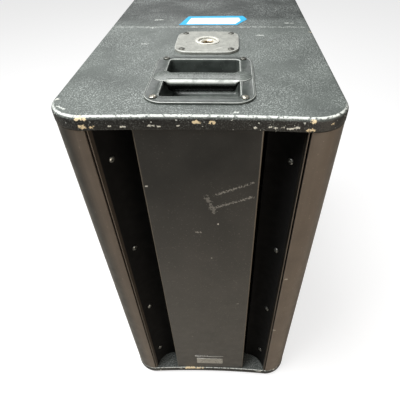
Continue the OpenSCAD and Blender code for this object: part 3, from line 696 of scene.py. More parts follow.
PANEL_MARKS = (
    Mark((19, -349, 561), (69, -349, 583), 2.4, "#8c8a84", 0.9, 0.7),
    Mark((17, -349, 538), (70, -349, 559), 2.6, "#8c8a84", 0.9, 0.7),
    Mark((7, -349, 557), (17, -349, 532), 5, "#86847e", 0.9, 0.5), chip(23, -349, 507, 3, "#b5b3ac", 0.5),
    chip(-72, -349, 575, 3.5, "#b5b3ac", 1), chip(-35, -349, 173, 3, "#aaa79f", 1),
    chip(12, -349, 430, 2.6, "#9b9992", 1), chip(-8, -349, 489, 5, "#7d7b75", 6),
    chip(58, -349, 300, 2.6, "#8d8a83", 2),
)
WING_MARKS = (
    chip(158, -344, 623, 4, "#a19a8e", 1), chip(156, -345, 401, 5, "#a19a8e", 2),
    chip(136, -354, 385, 4, "#a19a8e", 3), chip(134, -354, 216, 5, "#9a9388", 4),
    chip(170, -330, 230, 3, "#a19a8e", 1), Mark((119, -325, 346), (120, -325, 362), 3, "#6f716d", 0.6),
)

# Rolled crust of the top board, grainy: its colours are lighter than the same crust below as painted sheen of
# the overhead light, and its front edge is pale, partly worn white and partly painted highlight
TOP_PAINT = TexturedPaint(
    "textured_paint_top", "textured_paint", "#4b504d", "#5d635f", roughness=0.5, grain_mm=1.5,
    grain_depth_mm=0.5, mottle_mm=60.0, scratch="#9aa09b", scratch_share=0.03,
    marks=TAN_CHIPS + WHITE_CHIPS + TOP_SMEARS)
# The same crust on the bottom board: darker, without the top's painted sheen, with knocks along its front
LOW_PAINT = TexturedPaint(
    "textured_paint_base", "textured_paint", "#343836", "#464b48", roughness=0.5, grain_mm=1.5,
    grain_depth_mm=0.4, marks=LOW_MARKS)
# Paint on the plywood sides: near black, dull, with a few pale rubs
SIDE_PAINT = Finish(
    "painted_plywood", "painted_plywood", "#181918", "#222421", roughness=0.5, grain_mm=1.5,
    grain_depth_mm=0.3, speck="#6f746f", speck_mm=3.0, speck_share=0.06, scratch="#7c807b",
    scratch_share=0.03)
# Brushed-on black inside the box: dull, nearly no light comes back
INNER_PAINT = Finish(
    "inner_black_paint", "painted_plywood", "#020202", "#040404", roughness=0.9, specular=0.1,
    grain_mm=2.0, grain_depth_mm=0.1)
# Sprayed satin paint on a smooth panel: soft sheen with fine dust, painted highlight on its upright edges and
# painted shade over its upper half
PANEL_PAINT = PanelPaint(
    "satin_panel_paint", "front_panel_paint", "#33322f", "#3b3936", roughness=0.38, grain_mm=1.6,
    grain_depth_mm=0.05, mottle_mm=55.0, mottle_mix=0.3, speck="#5b5852", speck_mm=2.2, speck_share=0.1,
    marks=PANEL_MARKS)
# Moulded ABS with a spark-eroded skin: brown-grey, a broad satin highlight, its colour lightened to paint
# that highlight on its front; painted shade near black where it turns to the side and inside the slot
WING_ABS = WingSkin(
    "satin_moulded_abs", "wing_plastic", "#5a5149", "#675d53", roughness=0.36, specular=0.25,
    grain_mm=1.2, grain_depth_mm=0.03, mottle_mm=45.0, speck="#7d7367", speck_mm=3.0, speck_share=0.08,
    shade_x_mm=126.4, marks=WING_MARKS)
# Bare birch plywood: warm tan and matt
RAW_WOOD = Finish("birch_plywood", "raw_wood", "#b08a5c", "#9a764c", roughness=0.7, grain_mm=3.0)
# Black oxide on steel: dark grey with a tight glint
BLACK_SCREW = Finish(
    "black_oxide_steel", "black_screw", "#26272a", "#3a3b3d", roughness=0.38, metallic=0.8, grain_mm=0.5,
    grain_depth_mm=0.01)
# The same screws in the slots, worn bright on their rims
SLOT_SCREW = Finish(
    "worn_black_screw", "black_screw", "#2d2f30", "#b9bab4", roughness=0.3, metallic=0.9, mottle_mm=2.6,
    mottle_mix=0.25, grain_mm=0.5, grain_depth_mm=0.01)
# Clean zinc plating: silver with a yellow tinge
BRIGHT_SCREW = Finish(
    "zinc_plated_screw", "plated_screw", "#d8d5c8", "#8f8c80", roughness=0.3, metallic=0.9, grain_mm=0.5,
    grain_depth_mm=0.01, mottle_mm=4.0)
# Zinc plating gone dull: mid grey
DULL_SCREW = Finish(
    "dulled_zinc_screw", "plated_screw", "#5a5b57", "#77776f", roughness=0.45, metallic=0.7,
    grain_mm=0.5, grain_depth_mm=0.02, mottle_mm=4.0)
# Moulded cup: satin grey-green, with thin bright lines along its rounded rim edges: painted highlight, partly
# wear
CUP_PLASTIC = EdgeWornAndHighlit(
    "worn_highlit_moulded_cup", "cup_plastic", "#383d3a", "#4b514d", roughness=0.34, grain_mm=1.3,
    grain_depth_mm=0.05, mottle_mm=10.0, mottle_mix=0.3, speck="#7d7f79", speck_mm=1.8, speck_share=0.06,
    bare_and_highlight="#bfc3bd", low_edge=0.55, high_edge=0.95, above_mm=668.0)
# Painted casting: smooth, almost white along its rounded front as painted highlight, partly polished by
# hands, and black below as painted shade
GRIP_METAL = EdgeWornAndHighlit(
    "worn_highlit_shaded_casting", "grip_casting", "#525753", "#646a65", roughness=0.26, grain_mm=1.3,
    grain_depth_mm=0.008, mottle_mm=9.0, mottle_mix=0.3, speck="#a0a29c", speck_mm=1.8, speck_share=0.02,
    bare_and_highlight="#ccd0ca", low_edge=0.35, high_edge=0.93, under_shade="#0b0b0a")
# Die-cast plate: light warm grey, mottled and scratched, its rounded edges paler as painted highlight
PLATE_METAL = EdgeWornAndHighlit(
    "worn_die_cast_plate", "plate_casting", "#8b8c85", "#a2a39b", roughness=0.42, metallic=0.1,
    grain_mm=1.2, grain_depth_mm=0.08, mottle_mm=9.0, mottle_mix=0.35, speck="#62645e", speck_mm=2.2,
    speck_share=0.12, scratch="#d8d8cf", scratch_share=0.04)
# The plate's ring, worn down to the metal by poles: almost white, its rounded edges paler still as painted
# highlight
RING_METAL = EdgeWornAndHighlit(
    "bare_worn_ring", "plate_casting", "#c4c4ba", "#dcdcd2", roughness=0.3, metallic=0.2, grain_mm=1.0,
    grain_depth_mm=0.04, mottle_mm=4.0, bare_and_highlight="#f2f2ea")
# Threaded socket: pale on top, brassy down the thread, its rounded edges paler as painted highlight
SOCKET_METAL = EdgeWornAndHighlit(
    "bare_die_casting", "plate_casting", "#b39c76", "#8f7a55", roughness=0.35, metallic=0.6,
    grain_mm=0.8, grain_depth_mm=0.03, mottle_mm=5.0, bare_and_highlight="#e8e0cc", upward="#e4e3da")
# Moulded rubber: black and matt
FOOT_RUBBER = Finish("moulded_rubber", "foot_rubber", "#161616", "#1e1e1e", roughness=0.75)
# Satin metal badge: a soft silver glint
BADGE_METAL = Finish(
    "satin_blank_badge", "badge_metal", "#9a9993", "#b4b3ad", roughness=0.3, metallic=0.5, grain_mm=0.5,
    grain_depth_mm=0.01)
# Cloth tape: bright blue with a fine weave's dullness
TAPE_BLUE = Finish(
    "blue_cloth_tape", "tape", "#159fd0", "#1eaede", roughness=0.5, grain_mm=0.8, grain_depth_mm=0.04,
    mottle_mm=15.0)
# Paper label: white with a faint violet cast
TAPE_WHITE = Finish(
    "blank_white_label", "tape", "#e4e2e6", "#f2f0f2", roughness=0.5, grain_mm=0.8, grain_depth_mm=0.01,
    mottle_mm=12.0)
# Coated die-casting: black with a low sheen
BASKET_CAST = Finish("black_coated_casting", "basket_casting", "#0d0d0d", "#131313", roughness=0.5)
# Sintered ferrite: dull slate, like stone
FERRITE = Finish("sintered_ferrite", "ferrite", "#2b2b2d", "#37373a", roughness=0.7, grain_mm=0.6)
# Plated steel: bright, mirrors its neighbours a little
MOTOR_STEEL = Finish(
    "zinc_motor_steel", "motor_steel", "#a9a9a4", "#8f8f8a", roughness=0.3, metallic=1.0)
# Pressed paper: black with a felted surface that takes no highlight
CONE_PULP = Finish(
    "pressed_paper_pulp", "cone_paper", "#0c0c0c", "#121212", roughness=0.85, grain_mm=1.4,
    grain_depth_mm=0.2)
# Enamelled copper wire: deep orange glint
COIL = Finish(
    "enamelled_winding", "coil", "#8a5426", "#6d3f1a", roughness=0.35, metallic=0.7, grain_mm=0.4)
# Treated cloth: black with a slight gloss on its roll
SURROUND = Finish(
    "treated_cloth_roll", "surround_rubber", "#0c0c0c", "#111111", roughness=0.6, grain_mm=0.8)
# Resin-stiffened cloth: mustard and matt
SPIDER = Finish(
    "resin_cloth", "spider_cloth", "#b08a3c", "#9d7a33", roughness=0.8, grain_mm=0.7, grain_depth_mm=0.1)
# Powder coat: fine orange peel, near black
AMP_PAINT = Finish(
    "powder_coated_panel", "amp_paint", "#1c1d1d", "#242525", roughness=0.5, grain_mm=0.7,
    grain_depth_mm=0.04, speck="#5d5f5e", speck_mm=1.4, speck_share=0.04)
# Solder mask: glossy dark green
PCB = Finish("solder_mask", "circuit_laminate", "#123f22", "#18502b", roughness=0.3)
# Polyester tape round a winding: amber with a smooth shine
TRAFO = Finish(
    "wound_polyester_tape", "transformer_tape", "#a98433", "#8e6e28", roughness=0.35, mottle_mm=4.0)
# Shrunk sleeve: dark blue and glossy
CAPS = Finish("shrunk_pvc_sleeve", "capacitor_sleeve", "#15182c", "#1b2038", roughness=0.25)
# Moulded nylon: black with a faint sheen
SOCKETS = Finish("moulded_nylon", "socket_plastic", "#141415", "#1d1d1e", roughness=0.4, grain_mm=0.6)
# Polished red rocker: a sharp highlight
SWITCH = Finish("gloss_red_rocker", "switch_plastic", "#8e1512", "#9d1b16", roughness=0.2, coat=0.3)
# Plated slide lever: small and bright
LEVER = Finish(
    "bright_slide_lever", "switch_plastic", "#a9aaa6", "#8d8e8a", roughness=0.3, metallic=0.8)
# Wire jacket: dull red
WIRE = Finish("pvc_lead_jacket", "wire_jacket", "#7d1a14", "#8a231b", roughness=0.45)
# Zinc-plated sheet: cool silver in broad patches
ZINC = Finish(
    "zinc_plated_sheet", "zinc_plate", "#a6a8a6", "#8b8d8b", roughness=0.33, metallic=1.0,
    mottle_mm=18.0, grain_mm=0.6, grain_depth_mm=0.01)
# Rolling tread: dark grey, scuffed matt
TREAD = Finish(
    "thermoplastic_tread", "wheel_rubber", "#2a2b2c", "#353637", roughness=0.6, speck="#6b6c6b",
    speck_mm=2.5, speck_share=0.08)
# Moulded hub: a lighter grey than its tread
HUB = Finish("moulded_wheel_hub", "wheel_rubber", "#3b3c3e", "#454648", roughness=0.4)

_MADE: dict[str, bpy.types.Material] = {}


def material_of(finish: Finish) -> bpy.types.Material:
    """Build a finish's material once and hand out the same one after that."""
    if finish.name not in _MADE:
        _MADE[finish.name] = finish.build()
    return _MADE[finish.name]


def coat_piece(piece: bpy.types.Object, finish: Finish) -> None:
    """Give a piece its one material."""
    piece.data.materials.clear()
    piece.data.materials.append(material_of(finish))


def dress(piece: bpy.types.Object, finish: Finish, body: str = CABINET,
          replaced: Sequence[str] = ()) -> bpy.types.Object:
    """Coat a new piece, tie it to its body and hide the CAD nodes that it stands for.

    Args:
        piece: The finished mesh object.
        finish: Its finish.
        body: The CAD body that it moves with.
        replaced: CAD nodes that it stands for.

    Returns:
        The piece.
    """
    coat_piece(piece, finish)
    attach(piece, body)
    if replaced:
        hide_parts(*replaced)
    LOG.info("%s rides on %s", piece.name, body)
    return piece


def dress_nodes(finishes: dict[str, Finish]) -> None:
    """Coat CAD nodes that keep their own shape.

    Args:
        finishes: Node name to finish.
    """
    for name, finish in finishes.items():
        coat_piece(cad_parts[name], finish)
        LOG.info("%s keeps its CAD shape", name)


# ---------------------------------------------------------------- screws by Geometry Nodes


class Drive(Enum):
    """How a screw is driven."""

    HEX = 6
    CROSS = 4


@dataclass
class ScrewPattern:
    """Screw heads set on a list of places by a Geometry Nodes tree."""

    name: str
    node: str
    finish: Finish
    aim: Callable[[Vector], Vector]
    seat: Callable[[Vector, Vector], Vector]
    drive: Drive = Drive.CROSS
    head_r: float = HEAD_R
    head_h: float = HEAD_H
    seed: int = 3
    chosen: Callable[[Vector], bool] = lambda middle: True
    stands_for: bool = True

    def head(self) -> bpy.types.Object:
        """Build one domed head with its drive recess, standing on z = 0."""
        r, h = self.head_r, self.head_h
        dome = lathe(self.name + "_head", [(0, 0), (r, 0), (r, h * 0.25), (r * 0.93, h * 0.6),
                     (r * 0.72, h * 0.87), (r * 0.4, h * 0.98), (0, h)], 28)
        if self.drive is Drive.HEX:
            flats_r, floor, above = r * 0.42, h * 0.35, h * 1.5
            profile = [(0, floor), (flats_r, floor), (flats_r, above), (0, above)]
            return cut(dome, lathe("drive_tool", profile, self.drive.value))
        arms = []
        for turn in (0, 90):
            slot = rounded_rect(r * 1.1, r * 0.22, r * 0.1, 2)
            arm = loft("drive_tool", [level(slot, z * h) for z in (0.4, 1.5)])
            arms.append(place(arm, Matrix.Rotation(math.radians(turn), 4, "Z")))
        return cut(dome, *arms)

    def tree(self) -> bpy.types.NodeTree:
        """Build the tree: an instance of the head on each point, aimed and turned, then made real."""
        tree = bpy.data.node_groups.new(self.name + "_pattern", "GeometryNodeTree")
        for label, kind in (("Places", "NodeSocketGeometry"), ("Head", "NodeSocketObject"),
                            ("Size", "NodeSocketFloat"), ("Seed", "NodeSocketInt"),
                            ("Finish", "NodeSocketMaterial")):
            tree.interface.new_socket(label, in_out="INPUT", socket_type=kind)
        tree.interface.new_socket("Heads", in_out="OUTPUT", socket_type="NodeSocketGeometry")
        given = add_node(tree, "NodeGroupInput").outputs
        head = add_node(tree, "GeometryNodeObjectInfo", {"Object": given["Head"]})
        aim = add_node(tree, "GeometryNodeInputNamedAttribute", {"Name": "aim"}, data_type="FLOAT_VECTOR")
        turned = add_node(tree, "FunctionNodeAlignRotationToVector", {"Vector": aim.outputs[0]}, axis="Z")
        spin = add_node(tree, "FunctionNodeRandomValue", {"Min": 0.0, "Max": math.tau, "Seed": given["Seed"]},
                        data_type="FLOAT")
        about = add_node(tree, "FunctionNodeAxisAngleToRotation",
                         {"Axis": (0, 0, 1), "Angle": spin.outputs[1]})
        both = add_node(tree, "FunctionNodeRotateRotation", {0: turned.outputs[0], 1: about.outputs[0]},
                        rotation_space="LOCAL")
        set_on = add_node(tree, "GeometryNodeInstanceOnPoints", {"Points": given["Places"],
                          "Instance": head.outputs["Geometry"], "Rotation": both.outputs[0],
                          "Scale": given["Size"]})
        real = add_node(tree, "GeometryNodeRealizeInstances", {0: set_on.outputs[0]})
        coated = add_node(tree, "GeometryNodeSetMaterial", {0: real.outputs[0], "Material": given["Finish"]})
        add_node(tree, "NodeGroupOutput", {0: coated.outputs[0]})
        return tree

    def build(self) -> bpy.types.Object:
        """Set the heads and dress them."""
        boxes = [box for box in islands(self.node) if self.chosen((box[0] + box[1]) / 2)]
        mesh = bpy.data.meshes.new(self.name)
        mesh.from_pydata([self.seat(low, high) for low, high in boxes], [], [])
        aims = mesh.attributes.new("aim", "FLOAT_VECTOR", "POINT")
        for k, (low, high) in enumerate(boxes):
            aims.data[k].vector = self.aim((low + high) / 2)
        piece = bpy.data.objects.new(self.name, mesh)
        bpy.context.scene.collection.objects.link(piece)
        tree = self.tree()
        head = self.head()
        modifier = piece.modifiers.new("pattern", "NODES")
        modifier.node_group = tree
        values = {"Head": head, "Size": 1.0, "Seed": self.seed, "Finish": material_of(self.finish)}
        for item in tree.interface.items_tree:
            if item.in_out == "INPUT" and item.name in values:
                modifier[item.identifier] = values[item.name]
        to_plain_mesh(piece)
        bpy.data.objects.remove(head)
        bpy.data.node_groups.remove(tree)
        return dress(piece, self.finish, replaced=[self.node] if self.stands_for else [])


# ---------------------------------------------------------------- the cabinet


def back_seat(low: Vector, high: Vector) -> Vector:
    """Give the place on the back from which a screw head stands out."""
    return Vector(((low.x + high.x) / 2, high.y - HEAD_H, (low.z + high.z) / 2))


@dataclass
class Cabinet:
    """Boards, centre panel and the unseen carcass."""

    corner_r: float = 46 * MM
    rear_r: float = 5 * MM
    front_sag: float = 4.3 * MM
    top_round: float = 5.5 * MM
    low_round: float = 2.5 * MM
    well: tuple[float, float, float] = (104 * MM, 126 * MM, 8 * MM)
    pole_hole_r: float = 17.7 * MM
    panel_round: float = 2.5 * MM

    def plan(self) -> list[Point]:
        """Trace the boards' plan: hollow front, round front corners, small rear ones."""
        low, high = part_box("top_board")
        half, chord = high.x, high.x - self.corner_r
        sag_r = (chord ** 2 + self.front_sag ** 2) / (2 * self.front_sag)
        steps = 32
        xs = [chord * (2 * k / steps - 1) for k in range(1, steps)]
        front = [(x, low.y + self.front_sag - sag_r + math.sqrt(sag_r ** 2 - x ** 2)) for x in xs]
        right = arc((chord, low.y + self.corner_r), self.corner_r, -90, 0, 20)
        back_right = arc((half - self.rear_r, high.y - self.rear_r), self.rear_r, 0, 90, 6)
        back_left = arc((self.rear_r - half, high.y - self.rear_r), self.rear_r, 90, 180, 6)
        left = arc((-chord, low.y + self.corner_r), self.corner_r, 180, 270, 20)
        return front + right + back_right + back_left + left

    def build_top(self) -> None:
        """Make the top board with its rounded edge and its two openings."""
        low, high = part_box("top_board")
        board = slab("top_board_round", self.plan(), low.z, high.z, self.top_round, self.low_round)
        cup_low, cup_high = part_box("handle_cup")
        middle = (cup_low + cup_high) / 2
        well = loft("well_tool", [level(rounded_rect(*self.well), z) for z in (low.z - 0.01, high.z + 0.01)])
        place(well, Matrix.Translation((middle.x, middle.y, 0)))
        pole = (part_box("pole_socket")[0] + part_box("pole_socket")[1]) / 2
        hole = lathe("hole_tool", [(0, low.z - 0.01), (self.pole_hole_r, low.z - 0.01),
                     (self.pole_hole_r, high.z + 0.01), (0, high.z + 0.01)], 48)
        place(hole, Matrix.Translation((pole.x, pole.y, 0)))
        dress(cut(board, well, hole), TOP_PAINT, replaced=["top_board"])

    def build_base(self) -> None:
        """Make the bottom board with its rounded edges."""
        low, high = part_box("bottom_board")
        board = slab("bottom_board_round", self.plan(), low.z, high.z, self.low_round, self.top_round)
        dress(board, LOW_PAINT, replaced=["bottom_board"])

    def build_panel(self) -> None:
        """Make the centre panel with its round upright edges."""
        low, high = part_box("centre_front_panel")
        size, middle = high - low, (low + high) / 2
        outline = [(x + middle.x, y + middle.y) for x, y in rounded_rect(size.x, size.y, self.panel_round, 6)]
        panel = slab("centre_panel_round", outline, low.z, high.z, 0.4 * MM, 0.4 * MM)
        dress(panel, PANEL_PAINT, replaced=["centre_front_panel"])

    def dress_carcass(self) -> None:
        """Coat the boards that keep their CAD shape."""
        dress_nodes({
            "left_side_board": SIDE_PAINT, "right_side_board": SIDE_PAINT, "back_board": SIDE_PAINT,
            "driver_baffle": INNER_PAINT, "wing_battens": INNER_PAINT,
            "front_brace": INNER_PAINT, "window_brace": RAW_WOOD, "rubber_feet": FOOT_RUBBER,
        })

    def build(self) -> None:
        """Build the whole carcass."""
        self.build_top()
        self.build_base()
        self.build_panel()
        self.dress_carcass()


@dataclass
class Wings:
    """Curved side bezels: shell, groove, lip and the quarter-round flare inside the slot."""

    corner_r: float = 46 * MM
    inset: float = 1.2 * MM
    wall: float = 3 * MM
    flare_r: float = 41 * MM
    flare_t: float = 1.8 * MM
    groove: float = 2 * MM
    groove_d: float = 7 * MM
    slot_w: float = 49.5 * MM
    side_return: float = 32 * MM
    screw_angle: float = 39.0
    soft: float = 0.7 * MM

    def flare_centre(self) -> Point:
        """Give the middle of the right flare's curve."""
        lip_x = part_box("centre_front_panel")[1].x + self.slot_w
        return lip_x - self.flare_r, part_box("top_board")[0].y + self.inset + 0.8 * MM

    def plan(self) -> list[Point]:
        """Trace the right wing's section, anticlockwise."""
        low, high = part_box("top_board")
        centre, soft = self.flare_centre(), self.soft
        outer_r = self.flare_r + self.flare_t
        groove_x, web_y = centre[0] + outer_r + self.groove, centre[1] + self.groove_d
        chord, middle_y = high.x - self.corner_r, low.y + self.corner_r
        skin_r = self.corner_r - self.inset
        end_y = middle_y + self.side_return
        first, last = math.degrees(soft / self.flare_r), math.degrees(self.groove_d / outer_r)
        points = arc(centre, self.flare_r, 90, first, 40)
        points += arc((centre[0] + self.flare_r + soft, centre[1] + soft), soft, 180, 270, 4)[1:]
        points += arc((centre[0] + outer_r - soft, centre[1] + soft), soft, 270, 360, 4)
        points += arc(centre, outer_r, first, last, 4)[1:]
        points += [(groove_x, web_y)]
        points += arc((groove_x + soft, low.y + self.inset + soft), soft, 180, 270, 4)
        points += arc((chord + soft, middle_y), skin_r, -90, 0, 40)
        points += [(high.x - self.inset, end_y), (high.x - self.inset - self.wall, end_y)]
        points += arc((chord, middle_y), skin_r - self.wall, 0, -86, 24)
        back = math.degrees((self.groove_d + self.flare_t) / outer_r)
        points += [(groove_x + self.wall, web_y + self.flare_t)]
        points += arc(centre, outer_r, back, 90, 40)
        return points

    def build(self) -> None:
        """Extrude both wings and set their screws."""
        for side, name in ((-1, "left_wing"), (1, "right_wing")):
            low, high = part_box(name)
            limit = high.x if side > 0 else -low.x
            section = [(side * min(x, limit), y) for x, y in self.plan()]
            wing = loft(name + "_shell", [level(section, z) for z in (low.z, high.z)])
            dress(wing, WING_ABS, replaced=[name])
        centre, turn = self.flare_centre(), math.radians(self.screw_angle)

        def aim(middle: Vector) -> Vector:
            """Point from the flare into the slot."""
            return Vector((-math.copysign(math.cos(turn), middle.x), -math.sin(turn), 0))

        def seat(low: Vector, high: Vector) -> Vector:
            """Stand on the flare's face."""
            reach = self.flare_r - 0.3 * MM
            x = math.copysign(centre[0] + reach * math.cos(turn), low.x)
            return Vector((x, centre[1] + reach * math.sin(turn), (low.z + high.z) / 2))

        ScrewPattern("wing_screw_heads", "wing_screws", SLOT_SCREW, aim, seat, Drive.HEX).build()


@dataclass
class Handle:
    """The moulded cup in the top board and the cast grip across it."""

    rim: tuple[float, float, float] = (137 * MM, 156 * MM, 26 * MM)
    mouth: tuple[float, float, float] = (98 * MM, 120 * MM, 5 * MM)
    rim_t: float = 3 * MM
    wall: float = 2.5 * MM
    grip_w: float = 32 * MM
    pocket_gap: float = 0.4 * MM

    def ring(self, base: tuple[float, float, float], grow: float, z: float, where: Vector) -> list[Vector]:
        """Give one ring of the cup, grown all round from a named outline."""
        width, length, radius = base
        outline = rounded_rect(width + 2 * grow, length + 2 * grow, max(2 * MM, radius + grow), 10)
        return [Vector((x + where.x, y + where.y, z + where.z)) for x, y in outline]

    def build_cup(self) -> None:
        """Loft the cup from its outer floor, round the rim and down the well."""
        low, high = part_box("handle_cup")
        where = Vector(((low.x + high.x) / 2, (low.y + high.y) / 2, high.z - self.rim_t))
        depth = where.z - low.z
        steps = [
            (self.mouth, self.wall - 4 * MM, -depth), (self.mouth, self.wall - 1 * MM, 1.2 * MM - depth),
            (self.mouth, self.wall, 4 * MM - depth), (self.mouth, self.wall, -0.4 * MM),
            (self.mouth, self.wall + 0.3 * MM, 0), (self.rim, -0.4 * MM, 0), (self.rim, 0, 0.3 * MM),
            (self.rim, 0, 1.8 * MM), (self.rim, -0.3 * MM, 2.4 * MM), (self.rim, -0.8 * MM, 2.85 * MM),
            (self.rim, -1.5 * MM, self.rim_t), (self.rim, -2.2 * MM, self.rim_t),
            (self.rim, -2.9 * MM, 2.6 * MM), (self.rim, -3.5 * MM, 2.5 * MM),
            (self.mouth, 4.0 * MM, 2.5 * MM), (self.mouth, 3.2 * MM, 2.9 * MM),
            (self.mouth, 2.4 * MM, self.rim_t), (self.mouth, 1.6 * MM, 2.8 * MM),
            (self.mouth, 0.9 * MM, 2.2 * MM), (self.mouth, 0.35 * MM, 1.2 * MM), (self.mouth, 0, -0.5 * MM),
            (self.mouth, -0.3 * MM, 8 * MM - depth), (self.mouth, -1.2 * MM, 5 * MM - depth),
            (self.mouth, -3.4 * MM, 3.2 * MM - depth), (self.mouth, -7 * MM, self.wall - depth),
        ]
        cup = loft("handle_cup_moulding", [self.ring(base, grow, z, where) for base, grow, z in steps])
        grip_low, grip_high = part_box("handle_grip")
        outline = stadium(grip_high.x - grip_low.x + 2 * self.pocket_gap, self.grip_w + 2 * self.pocket_gap)
        pocket = loft("pocket_tool", [level(outline, z) for z in (where.z + 1 * MM, high.z + 3 * MM)])
        place(pocket, Matrix.Translation((where.x, where.y, 0)))
        dress(cut(cup, pocket), CUP_PLASTIC, replaced=["handle_cup"])

    def grip_section(self, x: float, half: float, top: float, bottom: float) -> list[Vector]:
        """Give one round-cornered section of the grip across its length."""
        height = top - bottom
        radius = max(0.3 * MM, min(7.5 * MM, half * 0.7, height * 0.46))
        outline = rounded_rect(2 * half, height, radius, 5)
        return [Vector((x, y, z + (top + bottom) / 2)) for y, z in outline]

    def build_grip(self) -> None:
        """Loft the grip along X: thin tabs at its ends, a full hand hold between."""
        low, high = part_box("handle_grip")
        middle_y, reach, half = (low.y + high.y) / 2, high.x, self.grip_w / 2
        top, tab = high.z, high.z - 2.5 * MM
        straight = reach - half
        count = 60
        sections = []
        for k in range(count + 1):
            x = -reach * math.cos(math.pi * k / count)
            over = max(0.0, abs(x) - straight)
            wide = math.sqrt(max(0.25 * MM ** 2, half ** 2 - over ** 2))
            hold = min(1.0, max(0.0, (47.2 * MM - abs(x)) / (5 * MM)))
            bottom = tab + (low.z - tab) * math.sin(hold * math.pi / 2) ** 0.7
            sections.append(self.grip_section(x, wide, top - 0.5 * MM * (x / reach) ** 4, bottom))
        grip = loft("handle_grip_casting", sections)
        place(grip, Matrix.Translation((0, middle_y, 0)))
        panel = loft("panel_tool", [level(rounded_rect(64 * MM, 12 * MM, 3 * MM), z)
                     for z in (top - 0.45 * MM, top + 2 * MM)])
        place(panel, Matrix.Translation((0, middle_y, 0)))
        dress(cut(grip, panel), GRIP_METAL, replaced=["handle_grip"])

    def build(self) -> None:
        """Build cup and grip, and the screws of the rim and the pole plate."""
        self.build_cup()
        self.build_grip()
        middle_y = (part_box("handle_grip")[0].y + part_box("handle_grip")[1].y) / 2

        def aim(middle: Vector) -> Vector:
            """Point up."""
            return Vector((0, 0, 1))

        def seat(low: Vector, high: Vector) -> Vector:
            """Stand on the rim or on the plate."""
            return Vector(((low.x + high.x) / 2, (low.y + high.y) / 2, high.z - HEAD_H))

        ScrewPattern("rim_screw_heads", "top_screws", BRIGHT_SCREW, aim, seat,
                     head_h=1.6 * MM, chosen=lambda middle: middle.y < middle_y).build()
        ScrewPattern("plate_screw_heads", "top_screws", DULL_SCREW, aim, seat,
                     head_h=1.6 * MM, chosen=lambda middle: middle.y > middle_y, stands_for=False).build()


@dataclass
class PolePlate:
    """The cast plate with its raised ring, and the threaded socket inside it."""

    corner_r: float = 28 * MM
    thickness: float = 4 * MM
    thread_r: float = 8.65 * MM
    thread_pitch: float = 2.5 * MM

    def outline(self, width: float) -> list[Point]:
        """Trace a square with round corners and slightly bulged sides."""
        reach, bulge = width / 2, 2.4 * width
        points = []
        for x, y in rounded_rect(width, width, self.corner_r, 12):
            limit_x, limit_y = reach - y * y / (2 * bulge), reach - x * x / (2 * bulge)
            points.append((max(-limit_x, min(limit_x, x)), max(-limit_y, min(limit_y, y))))
        return points

    def build(self) -> None:
        """Build the plate, its ring and the socket."""
        low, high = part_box("pole_plate")
        where = Matrix.Translation(((low.x + high.x) / 2, (low.y + high.y) / 2, low.z))
        t, ring_h = self.thickness, high.z - low.z
        ring_r, hole_r = 19.5 * MM, 14.5 * MM
        plate = slab("pole_plate_body", self.outline(high.x - low.x), 0, t, 1.3 * MM, 0.2 * MM)
        hole = lathe("hole_tool", [(0, -MM), (hole_r, -MM), (hole_r, 9 * MM), (0, 9 * MM)], 64)
        cut(plate, hole)
        inner = [(hole_r, 0.5 * MM), (hole_r, ring_h - 0.9 * MM), (hole_r + 0.3 * MM, ring_h - 0.25 * MM),
                 (hole_r + 0.9 * MM, ring_h)]
        outer = [(ring_r - 0.9 * MM, ring_h), (ring_r - 0.3 * MM, ring_h - 0.3 * MM), (ring_r, t),
                 (ring_r + 0.6 * MM, t - 0.3 * MM), (ring_r, 0.5 * MM)]
        ring = lathe("pole_plate_ring", inner + outer, 72)
        dress(place(plate, where), PLATE_METAL, replaced=["pole_plate"])
        dress(place(ring, where), RING_METAL)
        self.build_socket(where, low.z)

    def build_socket(self, where: Matrix, floor: float) -> None:
        """Turn the threaded socket.

        Args:
            where: Place of the plate's underside.
            floor: Height of the plate's underside.
        """
        socket_low, socket_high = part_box("pole_socket")
        depth, top, outer = floor - socket_low.z, socket_high.z - floor, 17.4 * MM
        neck, chamfer, depth_of_thread = 14.2 * MM, 1.6 * MM, 1.2 * MM
        profile = [(self.thread_r, 0.0)]
        turns = int(depth / self.thread_pitch)
        for k in range(turns):
            z = -k * self.thread_pitch
            profile += [(self.thread_r, z - 0.3 * MM),
                        (self.thread_r + depth_of_thread, z - 0.5 * self.thread_pitch),
                        (self.thread_r, z - self.thread_pitch + 0.3 * MM)]
        profile += [(self.thread_r, -depth), (outer, -depth), (outer, 0), (neck, 0), (neck, top),
                    (self.thread_r + chamfer, top), (self.thread_r, top - chamfer)]
        dress(place(lathe("pole_socket_thread", profile, 64), where), SOCKET_METAL, replaced=["pole_socket"])


